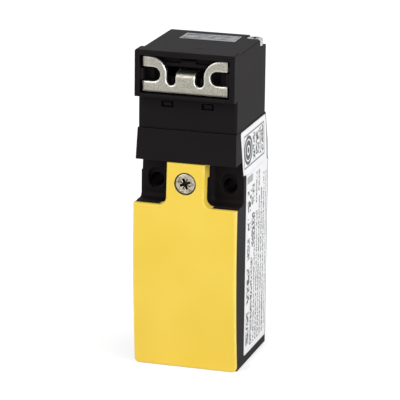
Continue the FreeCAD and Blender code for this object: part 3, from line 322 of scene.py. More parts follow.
@dataclass(frozen=True)
class PrintedLabel:
    """White polyester film with black generic print: a border, a ring, symbols and filler text; the dark
    line along its rear edge is a painted shadow.
    """

    name: str = "printed_white_polyester_film"
    paper: str = "E2E2E4"
    ink_shade: str = "1E1E20"
    roughness: float = 0.42
    gloss: float = 0.4
    index: float = 1.5
    edge_mm: float = 0.05
    ripple_mm: float = 2.5
    ripple_depth_mm: float = 0.004
    glyph_mm: float = 0.5
    glyph_height: float = 1.5
    glyph_gap: float = 0.46
    # Painted shadow: a thin dark line along the label's rear edge.
    shadow_line_y: float = 14.1
    shadow_line_width: float = 0.55
    shadow_line_height: float = 72.0
    shadow_line_darkness: float = 0.95
    bar_middle: Pair = (-4.6, 55.4)
    bar_half: Pair = (2.9, 1.1)
    bar_ink: float = 0.6
    line_mm: float = 0.5
    box_middle: Pair = (0.9, 64.1)
    box_half: Pair = (10.4, 4.7)
    box_ink: float = 0.8
    ring_middle: Pair = (-5.2, 64.1)
    ring_radii: tuple[float, ...] = (3.8, 2.2, 0.0)
    ring_widths: tuple[float, ...] = (1.0, 1.4, 1.8)
    columns: tuple[TextColumn, ...] = (
        TextColumn(0.7, 2.1, 60.2, 68.1, Ink.HEAVY), TextColumn(4.1, 3.0, 60.8, 67.6, Ink.HEAVY),
        TextColumn(7.1, 1.6, 60.3, 68.1, Ink.PLAIN), TextColumn(9.5, 2.2, 60.1, 68.3, Ink.PLAIN),
        TextColumn(-5.4, 2.8, 5.0, 15.0, Ink.HEAVY), TextColumn(-5.2, 2.8, 17.5, 28.5, Ink.HEAVY),
        TextColumn(-5.2, 2.6, 31.0, 37.5, Ink.PLAIN), TextColumn(-1.8, 1.9, 4.2, 31.0, Ink.HEAVY),
        TextColumn(0.9, 1.3, 4.2, 44.0, Ink.PLAIN), TextColumn(3.2, 1.3, 4.2, 44.0, Ink.PLAIN),
        TextColumn(5.5, 1.3, 4.2, 48.0, Ink.PLAIN), TextColumn(7.8, 1.3, 4.2, 50.0, Ink.PLAIN),
        TextColumn(10.1, 1.2, 4.6, 54.0, Ink.PLAIN), TextColumn(12.3, 1.0, 5.0, 54.0, Ink.FINE),
        TextColumn(2.4, 1.4, 46.5, 56.0, Ink.PLAIN), TextColumn(5.0, 1.4, 49.5, 56.0, Ink.PLAIN),
        TextColumn(-4.9, 4.0, 45.5, 52.0, Ink.HEAVY), TextColumn(-5.0, 3.2, 40.0, 43.6, Ink.HEAVY),
        TextColumn(-1.0, 2.6, 34.0, 44.5, Ink.HEAVY), TextColumn(-1.0, 2.4, 47.0, 53.0, Ink.PLAIN))

    def material(self) -> Material:
        """Build the label's material: print and a painted shadow line on film.

        Returns:
            The material.
        """
        material, tree, place = blank_material(self.name)
        apart = add_node(tree, "ShaderNodeSeparateXYZ", {"Vector": place})
        across, up = apart.outputs["Y"], apart.outputs["Z"]
        masks = [self.column_mask(tree, place, across, up, column) for column in self.columns]
        masks += self.box_mask(tree, across, up) + self.ring_masks(tree, across, up)
        masks.append(self.patch(tree, across, up, self.bar_middle, self.bar_half, self.bar_ink))
        # The painted shadow line along the rear edge, mixed in with the print.
        masks.append(self.patch(tree, across, up, (self.shadow_line_y, self.shadow_line_height / 2),
                                (self.shadow_line_width / 2, self.shadow_line_height / 2), self.shadow_line_darkness))
        ink_and_shadow_mask = masks[0]
        for mask in masks[1:]:
            ink_and_shadow_mask = self.either(tree, ink_and_shadow_mask, mask)
        colour = blend(tree, ink_and_shadow_mask, self.paper, self.ink_shade)
        rounded = soft_edge(tree, self.edge_mm)
        ripple = noise(tree, place, self.ripple_mm, detail=1.0)
        close_shader(tree, ripple, self.ripple_depth_mm, rounded, {
            "Base Color": colour, "Roughness": self.roughness, "IOR": self.index,
            "Specular IOR Level": self.gloss})
        return material

    def either(self, tree: Tree, first: Socket, second: Socket) -> Socket:
        """Join two masks."""
        joined = add_node(tree, "ShaderNodeMath", {0: first, 1: second}, operation="MAXIMUM")
        return joined.outputs["Value"]

    def patch(self, tree: Tree, across: Socket, up: Socket, middle: Pair, half: Pair, ink: float) -> Socket:
        """Mask a rectangle.

        Args:
            tree: The node tree.
            across: The coordinate from the label's front to its rear.
            up: The upright coordinate.
            middle: The rectangle's middle in millimetres.
            half: Half of its sides in millimetres.
            ink: How dark it is.

        Returns:
            The mask's socket.
        """
        wide, tall = [add_node(tree, "ShaderNodeMath", {0: value, 1: centre * MM, 2: reach * MM},
                               operation="COMPARE").outputs["Value"]
                      for value, centre, reach in zip((across, up), middle, half)]
        both = add_node(tree, "ShaderNodeMath", {0: wide, 1: tall}, operation="MULTIPLY").outputs["Value"]
        return add_node(tree, "ShaderNodeMath", {0: both, 1: ink}, operation="MULTIPLY").outputs["Value"]

    def column_mask(self, tree: Tree, place: Socket, across: Socket, up: Socket,
                    column: TextColumn) -> Socket:
        """Mask one line of filler print: broken strokes inside a long thin rectangle.

        Args:
            tree: The node tree.
            place: Coordinates in metres.
            across: The coordinate from the label's front to its rear.
            up: The upright coordinate.
            column: The line's place, height and ink.

        Returns:
            The mask's socket.
        """
        middle = (column.middle_y, (column.low_z + column.high_z) / 2)
        half = (column.height / 2, (column.high_z - column.low_z) / 2)
        area = self.patch(tree, across, up, middle, half, column.ink.value)
        glyph = self.glyph_mm * max(1.0, column.height / self.glyph_height)
        strokes = add_node(tree, "ShaderNodeMath", {
            0: noise(tree, place, glyph, detail=0.0), 1: self.glyph_gap}, operation="GREATER_THAN")
        broken = add_node(tree, "ShaderNodeMath", {0: area, 1: strokes.outputs["Value"]},
                          operation="MULTIPLY")
        return broken.outputs["Value"]

    def box_mask(self, tree: Tree, across: Socket, up: Socket) -> list[Socket]:
        """Mask the four lines of the border box.

        Args:
            tree: The node tree.
            across: The coordinate from the label's front to its rear.
            up: The upright coordinate.

        Returns:
            A mask for each line.
        """
        (middle_y, middle_z), (half_y, half_z), thin = self.box_middle, self.box_half, self.line_mm / 2
        upright = [((middle_y + side * half_y, middle_z), (thin, half_z)) for side in (-1, 1)]
        level = [((middle_y, middle_z + side * half_z), (half_y, thin)) for side in (-1, 1)]
        return [self.patch(tree, across, up, middle, half, self.box_ink) for middle, half in upright + level]

    def ring_masks(self, tree: Tree, across: Socket, up: Socket) -> list[Socket]:
        """Mask the plain rings of the generic target symbol.

        Args:
            tree: The node tree.
            across: The coordinate from the label's front to its rear.
            up: The upright coordinate.

        Returns:
            A mask for each ring.
        """
        flat = add_node(tree, "ShaderNodeCombineXYZ", {"Y": across, "Z": up}).outputs["Vector"]
        middle = (0.0, self.ring_middle[0] * MM, self.ring_middle[1] * MM)
        away = add_node(tree, "ShaderNodeVectorMath", {0: flat, 1: middle}, operation="DISTANCE")
        return [add_node(tree, "ShaderNodeMath",
                         {0: away.outputs["Value"], 1: radius * MM, 2: width * MM / 2},
                         operation="COMPARE").outputs["Value"]
                for radius, width in zip(self.ring_radii, self.ring_widths)]


Finish = Union[Moulding, BareMetal, PrintedLabel]

# In each finish the third shade is a painted highlight laid over the edges.
# Black polyamide with glass fibre: matt, faintly warm, with a soft sheen where the light grazes it.
BLACK_POLYAMIDE = Moulding("black_glass_filled_polyamide", "171415", "1A1718", "343031", 0.55, gloss=0.04)
# Yellow polyamide cover: the same tool texture, finer, so its faces stay even; its wider rounded edges catch
# light, and a pale painted highlight lies on them too.
YELLOW_POLYAMIDE = Moulding("yellow_polyamide", "EECE50", "EAC948", "FBE98C", 0.52, gloss=0.25,
                            grain_depth_mm=0.008, edge_mm=0.42)
# Grey polyamide of the contact block: a little glossier than the case.
GREY_POLYAMIDE = Moulding("dark_grey_polyamide", "4A4C4E", "525456", "66686A", 0.42)
# Natural acetal of the cam and plunger: milky white and slippery.
WHITE_ACETAL = Moulding("natural_acetal", "DDDCD5", "E4E3DC", "F0EFEA", 0.32, grain_depth_mm=0.004)
# Grey plug of the unused slot: semi-matt.
PLUG_POLYAMIDE = Moulding("light_grey_polyamide", "6A6C6F", "A4A6A8", "C2C4C6", 0.5, gloss=0.2, cloud_mm=2.6)
# Moulded nitrile rubber: black, dull and slightly dusty.
NITRILE = Moulding("nitrile_rubber", "1B1B1C", "242425", "2E2E2F", 0.72, grain_depth_mm=0.006)
# Polyester label stock: smooth satin white, with black thermal print that says nothing.
LABEL_FILM = PrintedLabel()
# Stainless strip, stamped and tumbled: satin with a fine mottle; its wide pale edge bands are a painted
# highlight.
TUMBLED_STAINLESS = BareMetal("tumbled_stainless_strip", "ABA89E", "7B786E", "FFFEF6", 0.36, mottle_mm=0.45,
                              edge_mm=0.95)
# Zinc-plated and clear-passivated steel: bright and slightly blue.
ZINC_PLATE = BareMetal("zinc_plated_steel", "D0D2D2", "A0A29E", "F4F4F0", 0.26, mottle_mm=0.8)
# Zinc with a thick olive chromate on the cover screw: duller and darker than the rest.
CHROMATED_ZINC = BareMetal("chromated_zinc_steel", "C2B9A8", "5C574C", "EDE6D6", 0.30, mottle_mm=0.9)
# Inside a cross recess: the same plating, painted dark as shade, since the recess hides its faces from the
# light.
SHADED_RECESS = BareMetal("shaded_zinc_recess", "35322C", "1E1C19", "6E695F", 0.5, mottle_mm=0.6)
# Rolled tin bronze of the contacts: warm and smooth.
TIN_BRONZE = BareMetal("rolled_tin_bronze", "C69A63", "B58850", "DDB680", 0.30)
# Silver alloy rivets: white and slightly frosted.
SILVER_ALLOY = BareMetal("silver_alloy", "E8E6E2", "D5D2CC", "F6F5F2", 0.28)
# Drawn spring wire: grey and smooth.
SPRING_WIRE = BareMetal("drawn_spring_wire", "A8AAAD", "8F9195", "C6C8CA", 0.30)
# Turned brass of the insert: yellow with a dull skin.
TURNED_BRASS = BareMetal("turned_brass", "C9A55A", "B08D48", "E0C27C", 0.32)


NODE_FINISHES: dict[str, Finish] = {
    "base_housing": BLACK_POLYAMIDE, "head_housing": BLACK_POLYAMIDE, "head_base": BLACK_POLYAMIDE,
    "entry_frame": BLACK_POLYAMIDE, "front_cover": YELLOW_POLYAMIDE, "contact_block": GREY_POLYAMIDE,
    "contact_slide": WHITE_ACETAL, "cam_drum": WHITE_ACETAL, "plunger": WHITE_ACETAL,
    "top_blanking": PLUG_POLYAMIDE, "cover_gasket": NITRILE, "cover_screw_seal": NITRILE,
    "plunger_seal": NITRILE, "side_label": LABEL_FILM, "actuator_key": TUMBLED_STAINLESS,
    "cam_shaft": TUMBLED_STAINLESS, "cover_screw": ZINC_PLATE, "head_screw": ZINC_PLATE,
    "terminal_screws": ZINC_PLATE, "terminal_clamps": ZINC_PLATE, "block_screws": ZINC_PLATE,
    "fixed_contacts": TIN_BRONZE, "contact_bridges": TIN_BRONZE, "fixed_contact_tips": SILVER_ALLOY,
    "bridge_tips": SILVER_ALLOY, "contact_springs": SPRING_WIRE, "return_spring": SPRING_WIRE,
    "cover_insert": TURNED_BRASS,
}


class Wardrobe:
    """Keeps one material for each finish and gives it to nodes and pieces."""

    def __init__(self) -> None:
        """Start with no materials made."""
        self.made: dict[str, Material] = {}

    def material(self, finish: Finish) -> Material:
        """Return the finish's material, made once.

        Args:
            finish: The finish that is wanted.

        Returns:
            Its material.
        """
        if finish.name not in self.made:
            self.made[finish.name] = finish.material()
        return self.made[finish.name]

    def dress(self, piece: Piece, finish: Finish) -> None:
        """Put a finish in all of a piece's slots.

        Args:
            piece: A mesh object.
            finish: The finish it gets.
        """
        if not piece.material_slots:
            piece.data.materials.append(None)
        for place in piece.material_slots:
            place.material = self.material(finish)


# ---- modelling -----------------------------------------------------------------------------------
def deselect() -> None:
    """Leave edit mode with nothing selected."""
    if bpy.context.mode != "OBJECT":
        bpy.ops.object.mode_set(mode="OBJECT")
    bpy.ops.object.select_all(action="DESELECT")


def settle() -> None:
    """Move the selected piece's place, turn and size into its mesh."""
    bpy.ops.object.transform_apply(location=True, rotation=True, scale=True)


def isolate(piece: Piece) -> Piece:
    """Leave edit mode and make a piece the only one selected.

    Args:
        piece: The piece.

    Returns:
        The same piece.
    """
    deselect()
    piece.select_set(True)
    bpy.context.view_layer.objects.active = piece
    return piece


def start(kind: str, size_mm: Triple, place_mm: Triple, turn: float = 0.0, **settings: Any) -> Piece:
    """Add a unit primitive at its size and place, with both kept in its mesh.

    Args:
        kind: The primitive operator's name.
        size_mm: Its sides or diameters and height.
        place_mm: Its middle.
        turn: How far it is turned round the upright axis, in degrees.
        settings: Other values of the operator.

    Returns:
        The new piece.
    """
    deselect()
    add_primitive = getattr(bpy.ops.mesh, kind)
    add_primitive(location=Vector(place_mm) * MM, rotation=(0, 0, math.radians(turn)), **settings)
    piece = bpy.context.object
    piece.scale = Vector(size_mm) * MM
    settle()
    return piece


def block(size_mm: Triple, place_mm: Triple, turn: float = 0.0) -> Piece:
    """Add a box."""
    return start("primitive_cube_add", size_mm, place_mm, turn, size=1.0)


def box_between(across: Pair, deep: Pair, high: Pair) -> Piece:
    """Add a box that fills a range in each direction.

    Args:
        across: Where it starts and ends along X, in millimetres.
        deep: The same along Y.
        high: The same along Z.

    Returns:
        The new piece.
    """
    ranges = (across, deep, high)
    wide, long, tall = [end - begin for begin, end in ranges]
    middle_x, middle_y, middle_z = [(begin + end) / 2 for begin, end in ranges]
    return block((wide, long, tall), (middle_x, middle_y, middle_z))


def disc(radius_mm: float, height_mm: float, place_mm: Triple) -> Piece:
    """Add an upright cylinder."""
    return start("primitive_cylinder_add", (2 * radius_mm, 2 * radius_mm, height_mm), place_mm,
                 vertices=DISC_SIDES, radius=0.5, depth=1.0)


def looks_up(_middle: Vector, normal: Vector) -> bool:
    """Say whether a face looks up."""
    return normal.z > STRAIGHT


def looks_down(_middle: Vector, normal: Vector) -> bool:
    """Say whether a face looks down."""
    return normal.z < -STRAIGHT


def looks_front(_middle: Vector, normal: Vector) -> bool:
    """Say whether a face looks to the front."""
    return normal.y < -STRAIGHT


def pick(piece: Piece, wanted: Callable[[Vector, Vector], bool]) -> None:
    """Open a piece in edit mode with only some faces selected.

    Args:
        piece: The piece.
        wanted: Says of a face's middle in millimetres and its normal whether it is selected.
    """
    isolate(piece)
    bpy.context.tool_settings.mesh_select_mode = (False, False, True)
    for part in list(piece.data.vertices) + list(piece.data.edges):
        part.select = False
    for face in piece.data.polygons:
        face.select = wanted(face.center / MM, face.normal)
    bpy.ops.object.mode_set(mode="EDIT")


def push(offset_mm: Triple) -> None:
    """Extrude the selected faces by an offset."""
    bpy.ops.mesh.extrude_region_move(TRANSFORM_OT_translate={"value": Vector(offset_mm) * MM})


def squeeze(share: Triple, middle_mm: Triple) -> None:
    """Resize what is selected about a point."""
    bpy.ops.transform.resize(value=share, center_override=Vector(middle_mm) * MM)


def soften(width_mm: float, segments: int = 2) -> None:
    """Bevel the edges of the selected faces."""
    bpy.ops.mesh.bevel(offset=width_mm * MM, segments=segments, affect="EDGES")


def round_front(piece: Piece, width_mm: float, segments: int = 2) -> Piece:
    """Round the edges of a piece's front faces.

    Args:
        piece: The piece.
        width_mm: Width of the rounding.
        segments: How many faces it has.

    Returns:
        The same piece.
    """
    pick(piece, looks_front)
    soften(width_mm, segments)
    return isolate(piece)


def carve(piece: Piece, cutter: Piece) -> None:
    """Cut one piece out of another and throw the cutter away.

    Args:
        piece: The piece that is cut.
        cutter: The piece that cuts.
    """
    isolate(piece)
    cut = piece.modifiers.new("cut", "BOOLEAN")
    cut.object, cut.operation, cut.solver = cutter, "DIFFERENCE", "EXACT"
    bpy.ops.object.modifier_apply(modifier="cut")
    isolate(cutter)
    bpy.ops.object.delete()
    isolate(piece)


def weld(pieces: list[Piece]) -> Piece:
    """Join separate bodies into one piece.

    Args:
        pieces: The bodies.

    Returns:
        The first of them, which now holds all.
    """
    isolate(pieces[0])
    for piece in pieces[1:]:
        piece.select_set(True)
    bpy.ops.object.join()
    return pieces[0]


class Bench:
    """Finishes pieces and fits them to the switch."""

    def __init__(self, wardrobe: Wardrobe) -> None:
        """Keep the wardrobe that dresses the pieces."""
        self.wardrobe = wardrobe

    def fit(self, piece: Piece, name: str, body: str, finish: Optional[Finish],
            stands_for: tuple[str, ...] = ()) -> Piece:
        """Name, shade, dress and mount a finished piece.

        Args:
            piece: The modelled piece.
            name: Its name.
            body: The body that carries it.
            finish: Its finish, or None where it is already dressed.
            stands_for: The nodes that it replaces.

        Returns:
            The piece.
        """
        isolate(piece)
        piece.name = name
        bpy.ops.object.shade_smooth_by_angle(angle=math.radians(SMOOTH_ANGLE))
        if finish:
            self.wardrobe.dress(piece, finish)
        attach(piece, body)
        if stands_for:
            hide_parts(*stands_for)
        log.info("piece %s: %d faces on %s", name, len(piece.data.polygons), body)
        return piece


# ---- pieces --------------------------------------------------------------------------------------
class Drive(Enum):
    """What a screw's head takes: the reach of its longer arm as a share of the head's radius."""

    CROSS = 0.70
    CROSS_AND_SLOT = 0.93


class Facing(Enum):
    """Which way a screw's head looks: its tilt about the X axis in degrees."""

    UP = 0.0
    FRONT = 90.0


@dataclass(frozen=True)
class CrossScrew:
    """A machine screw: rounded head, cross recess with four ticks, and thread crests down its shank."""

    head_radius: float
    head_height: float
    shank_radius: float
    length: float
    drive: Drive = Drive.CROSS
    pitch: float = 0.7
    rim: float = 0.3
    root_share: float = 0.82
    tip_share: float = 0.8
    least_tip: float = 0.05
    recess_width: float = 0.34
    recess_depth: float = 0.62
    recess_taper: float = 0.62
    tick_length: float = 1.2
    tick_width: float = 0.12
    tick_height: float = 0.5
    plating: float = 0.01
    recess_floor: float = 0.97
    rim_margin: float = 0.03

    def blank(self) -> Piece:
        """Model head and threaded shank with the head's top at the origin, looking up.

        Returns:
            The screw without its recess.
        """
        piece = disc(self.head_radius, self.head_height, (0, 0, -self.head_height / 2))
        pick(piece, looks_up)
        soften(self.rim, 3)
        pick(piece, looks_down)
        bpy.ops.mesh.inset(thickness=(self.head_radius - self.shank_radius * self.root_share) * MM)
        down = -self.head_height
        turns = int((self.length - self.head_height) / self.pitch)
        for _ in range(turns):
            for share in (1 / self.root_share, self.root_share):
                down -= self.pitch / 2
                push((0, 0, -self.pitch / 2))
                squeeze((share, share, 1), (0, 0, down))
        rest = self.length + down
        if rest > self.least_tip:
            push((0, 0, -rest))
            squeeze((self.tip_share, self.tip_share, 1), (0, 0, down - rest))
        return isolate(piece)

    def build(self) -> Piece:
        """Model the whole screw, its recess cut.

        Returns:
            The screw, with its head's top at the origin.
        """
        piece = self.blank()
        width, depth = self.recess_width * self.head_radius, self.recess_depth * self.head_height
        for turn, reach in ((0, self.drive.value), (90, Drive.CROSS.value)):
            arm = block((2 * reach * self.head_radius, width, 2 * depth), (0, 0, 0), turn)
            pick(arm, looks_down)
            squeeze((self.recess_taper, self.recess_taper, 1), (0, 0, -depth))
            carve(piece, isolate(arm))
        tick_size = (self.tick_length * self.head_radius, self.tick_width * self.head_radius,
                     self.tick_height)
        for turn in (45, 135):
            carve(piece, block(tick_size, (0, 0, 0), turn))
        return piece

    def dress_recess(self, piece: Piece, skin: Material, recess_shade: Material) -> None:
        """Give the screw its plating and the faces inside the recess their painted shade.

        Args:
            piece: The screw at the origin.
            skin: The plating.
            recess_shade: The recess's darker finish, painted shade.
        """
        piece.data.materials.append(skin)
        piece.data.materials.append(recess_shade)
        reach = self.head_radius - self.rim - self.rim_margin
        floor = -self.head_height * self.recess_floor
        # Faces inside the recess get the painted shade.
        for face in piece.data.polygons:
            middle = face.center / MM
            inside = math.hypot(middle.x, middle.y) < reach and floor < middle.z < -self.plating
            face.material_index = int(inside)

    def stand(self, model: Piece, place_mm: Triple, facing: Facing, turn: float) -> Piece:
        """Copy the modelled screw to its place, with the place in the copy's mesh.

        Args:
            model: The screw at the origin.
            place_mm: The middle of its head's top.
            facing: Which way the head looks.
            turn: How far the recess is turned, in degrees.

        Returns:
            The placed copy.
        """
        isolate(model)
        bpy.ops.object.duplicate()
        copy = bpy.context.object
        tilted = Matrix.Rotation(math.radians(facing.value), 4, "X")
        spun = tilted @ Matrix.Rotation(math.radians(turn), 4, "Z")
        copy.matrix_world = Matrix.Translation(Vector(place_mm) * MM) @ spun
        settle()
        return copy


@dataclass(frozen=True)
class ScrewSet:
    """Screws of one kind that stand for one node."""

    name: str
    node: str
    body: str
    screw: CrossScrew
    facing: Facing
    skin: BareMetal
    places: tuple[Triple, ...]
    turns: tuple[float, ...]

    def build(self, bench: Bench) -> None:
        """Model the screw once, copy it to each place and fit the set.

        Args:
            bench: The bench that fits it.
        """
        model = self.screw.build()
        # The recess faces get a painted shade.
        skin, recess_shade = [bench.wardrobe.material(finish) for finish in (self.skin, SHADED_RECESS)]
        self.screw.dress_recess(model, skin, recess_shade)
        copies = [self.screw.stand(model, place, self.facing, turn)
                  for place, turn in zip(self.places, self.turns)]
        isolate(model)
        bpy.ops.object.delete()
        bench.fit(weld(copies), self.name, self.body, None, (self.node,))


SCREW_SETS = (
    ScrewSet("cover_screw_cross", "cover_screw", "cover", CrossScrew(3.0, 2.2, 1.7, 10.4), Facing.FRONT,
             CHROMATED_ZINC, ((0.0, -17.76, 55.8),), (22.0,)),
    ScrewSet("head_screw_cross", "head_screw", "head", CrossScrew(2.4, 2.2, 1.0, 22.1, pitch=0.8),
             Facing.UP, ZINC_PLATE, ((11.9, 10.9, 93.7),), (14.0,)),
    ScrewSet("terminal_screws_cross", "terminal_screws", "base",
             CrossScrew(2.1, 1.9, 1.4, 8.9, Drive.CROSS_AND_SLOT, 0.6), Facing.FRONT, ZINC_PLATE,
             ((-9.75, -9.3, 29.8), (9.75, -9.3, 29.8), (-9.75, -9.3, 39.8), (9.75, -9.3, 39.8)),
             (8.0, 61.0, 118.0, 35.0)),
    ScrewSet("block_screws_cross", "block_screws", "base", CrossScrew(2.1, 1.4, 1.08, 8.9, pitch=0.6),
             Facing.FRONT, ZINC_PLATE, ((-10.4, 2.85, 21.6), (10.4, 2.85, 21.6)), (40.0, 75.0)),
)


@dataclass(frozen=True)
class RoundSpring:
    """A compression spring of round wire with closed ends."""

    radius: float
    wire_radius: float
    low: float
    high: float
    turns: int
    axis_y: float = -1.3
    wire_sides: int = 10
    turn_sides: int = 28

    def build(self) -> Piece:
        """Sweep the wire's circle up a helix and cap its ends.

        Returns:
            The spring in its place.
        """
        rise = self.high - self.low - 2 * self.wire_radius
        deselect()
        bpy.ops.mesh.primitive_circle_add(vertices=self.wire_sides, radius=self.wire_radius * MM,
                                          location=(self.radius * MM, 0, 0), rotation=(math.pi / 2, 0, 0))
        piece = bpy.context.object
        settle()
        sweep = piece.modifiers.new("helix", "SCREW")
        sweep.steps = sweep.render_steps = self.turn_sides
        sweep.iterations = self.turns
        sweep.screw_offset = rise * MM / self.turns
        sweep.use_merge_vertices = False
        bpy.ops.object.modifier_apply(modifier="helix")
        bpy.ops.object.mode_set(mode="EDIT")
        bpy.ops.mesh.select_all(action="SELECT")
        bpy.ops.mesh.fill_holes(sides=0)
        bpy.ops.mesh.select_all(action="SELECT")
        bpy.ops.mesh.normals_make_consistent(inside=False)
        bpy.ops.object.mode_set(mode="OBJECT")
        piece.location = Vector((0, self.axis_y, self.low + self.wire_radius)) * MM
        settle()
        return piece


@dataclass(frozen=True)
class Springs:
    """The return spring under the slide and the two springs in it."""

    back: RoundSpring = RoundSpring(1.35, 0.22, 19.5, 25.0, 5)
    contact: tuple[RoundSpring, ...] = (
        RoundSpring(1.3, 0.2, 26.4, 31.0, 4), RoundSpring(1.3, 0.2, 36.4, 41.0, 4))
    kept_height: float = 0.527

    def build(self, bench: Bench) -> None:
        """Build and fit all three springs; the return spring gets a mesh of its own.

        Args:
            bench: The bench that fits them.
        """
        piece = bench.fit(self.back.build(), "return_spring_wire", "base", SPRING_WIRE,
                          ("return_spring",))
        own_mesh(piece)
        pair = weld([spring.build() for spring in self.contact])
        bench.fit(pair, "contact_springs_wire", "contact_carrier", SPRING_WIRE,
                  ("contact_springs",))


@dataclass(frozen=True)
class HeadTrim:
    """The fine forms of the head: the top plug, the ledge and ribs in the entry and the tool's marks."""

    top: float = 93.9
    plug_size: Pair = (16.9, 7.8)
    plug_middle: Pair = (0.0, 5.9)
    plug_depth: float = 5.0
    stem_margin: Pair = (1.2, 0.8)
    lip: float = 0.06
    dish_rim: float = 0.7
    dish_depth: float = 0.22
    dish_round: float = 0.1
    ledge_x: Pair = (-8.6, 6.0)
    ledge_y: Pair = (-17.1, -14.0)
    ledge_z: Pair = (89.9, 91.0)
    ledge_round: float = 0.25
    step_x: Pair = (-1.9, 2.6)
    step_y: Pair = (-17.05, -14.25)
    step_z: Pair = (90.9, 91.8)
    step_round: float = 0.2
    rib_width: float = 0.7
    rib_round: float = 0.15
    upper_rib_x: float = 4.7
    upper_rib_y: Pair = (-15.1, -14.1)
    upper_rib_z: Pair = (89.3, 90.5)
    lower_rib_x: float = 4.3
    lower_rib_y: Pair = (-16.9, -15.4)
    lower_rib_z: Pair = (83.4, 86.6)
    mark_middle: Pair = (1.6, -11.2)
    mark_radii: Pair = (2.1, 1.6)
    mark_height: float = 0.1
    mark_depth: float = 0.04

    def build(self, bench: Bench) -> None:
        """Build and fit the head's fine forms.

        Args:
            bench: The bench that fits them.
        """
        bench.fit(self.plug(), "top_entry_plug", "head", PLUG_POLYAMIDE, ("top_blanking",))
        bench.fit(self.ledge(), "entry_ledge", "head", BLACK_POLYAMIDE)
        bench.fit(self.ejector_mark(), "ejector_mark", "head", BLACK_POLYAMIDE)

    def plug(self) -> Piece:
        """Model the plug: a stem in the window, a thin flange over its rim and a shallow dish.

        Returns:
            The plug.
        """
        (wide, deep), (middle_x, middle_y) = self.plug_size, self.plug_middle
        stem_wide, stem_deep = wide - self.stem_margin[0], deep - self.stem_margin[1]
        piece = block((stem_wide, stem_deep, self.plug_depth),
                      (middle_x, middle_y, self.top - self.plug_depth / 2))
        pick(piece, looks_up)
        push((0, 0, self.lip))
        squeeze((wide / stem_wide, deep / stem_deep, 1), (middle_x, middle_y, self.top + self.lip))
        bpy.ops.mesh.inset(thickness=self.dish_rim * MM)
        push((0, 0, -self.dish_depth))
        soften(self.dish_round)
        return isolate(piece)

    def rib(self, middle_x: float, deep: Pair, high: Pair) -> Piece:
        """Model one rib with a rounded front."""
        across = (middle_x - self.rib_width / 2, middle_x + self.rib_width / 2)
        return round_front(box_between(across, deep, high), self.rib_round)

    def ledge(self) -> Piece:
        """Model the ledge over the entry, the step on it, and the ribs above and below the tongue.

        Returns:
            All of them as one piece.
        """
        shelf = round_front(box_between(self.ledge_x, self.ledge_y, self.ledge_z), self.ledge_round, 3)
        step = round_front(box_between(self.step_x, self.step_y, self.step_z), self.step_round)
        ribs = []
        for side in (-1, 1):
            ribs.append(self.rib(side * self.upper_rib_x, self.upper_rib_y, self.upper_rib_z))
            ribs.append(self.rib(side * self.lower_rib_x, self.lower_rib_y, self.lower_rib_z))
        return weld([shelf, step] + ribs)

    def ejector_mark(self) -> Piece:
        """Model the faint raised ring that an ejector leaves on the moulding.

        Returns:
            The ring.
        """
        outer, inner = self.mark_radii
        ring = disc(outer, self.mark_height, (*self.mark_middle, self.top))
        pick(ring, looks_up)
        bpy.ops.mesh.inset(thickness=(outer - inner) * MM)
        push((0, 0, -self.mark_depth))
        return isolate(ring)


@dataclass(frozen=True)
class ScrewRing:
    """The rubber ring that holds the cover screw and shows round its head."""

    middle: Triple = (0.0, -17.66, 55.8)
    outer: float = 3.3
    inner: float = 3.02
    depth: float = 0.6
    rounding: float = 0.08

    def build(self, bench: Bench) -> None:
        """Model the ring lying down, stand it up round the screw and fit it.

        Args:
            bench: The bench that fits it.
        """
        ring = disc(self.outer, self.depth, (0, 0, -self.depth / 2))
        carve(ring, disc(self.inner, 3 * self.depth, (0, 0, 0)))
        pick(ring, looks_up)
        soften(self.rounding)
        isolate(ring)
        ring.matrix_world = (Matrix.Translation(Vector(self.middle) * MM)
                             @ Matrix.Rotation(math.radians(Facing.FRONT.value), 4, "X"))
        settle()
        bench.fit(ring, "cover_screw_ring", "cover", NITRILE)


@dataclass(frozen=True)
class CableThread:
    """The thread of the cable entry in the foot of the case: crests that stand in from the bore's wall."""

    bore_radius: float = 9.19
    crest_radius: float = 8.92
    wall_radius: float = 9.4
    low: float = 0.9
    pitch: float = 1.5
    turns: int = 4
    sides: int = 72
    merge: float = 0.01

    def build(self, bench: Bench) -> None:
        """Raise a ring along the bore, in and out by half a pitch at a time, and close it outside.

        Args:
            bench: The bench that fits it.
        """
        deselect()
        bpy.ops.mesh.primitive_circle_add(vertices=self.sides, radius=self.wall_radius * MM,
                                          location=(0, 0, self.low * MM))
        piece = bpy.context.object
        settle()
        bpy.context.tool_settings.mesh_select_mode = (False, True, False)
        bpy.ops.object.mode_set(mode="EDIT")
        bpy.ops.mesh.select_all(action="SELECT")
        half = self.pitch / 2
        steps = [(self.bore_radius, 0.0)]
        steps += [(self.crest_radius if odd else self.bore_radius, half) for _ in range(self.turns)
                  for odd in (True, False)]
        steps += [(self.wall_radius, 0.0), (self.wall_radius, -self.pitch * self.turns)]
        radius, height = self.wall_radius, self.low
        for target, rise in steps:
            height += rise
            bpy.ops.mesh.extrude_edges_move(TRANSFORM_OT_translate={"value": (0, 0, rise * MM)})
            squeeze((target / radius, target / radius, 1), (0, 0, height))
            radius = target
        bpy.ops.mesh.select_all(action="SELECT")
        bpy.ops.mesh.remove_doubles(threshold=self.merge * MM)
        bpy.ops.mesh.normals_make_consistent(inside=False)
        bench.fit(isolate(piece), "cable_entry_thread", "base", BLACK_POLYAMIDE)


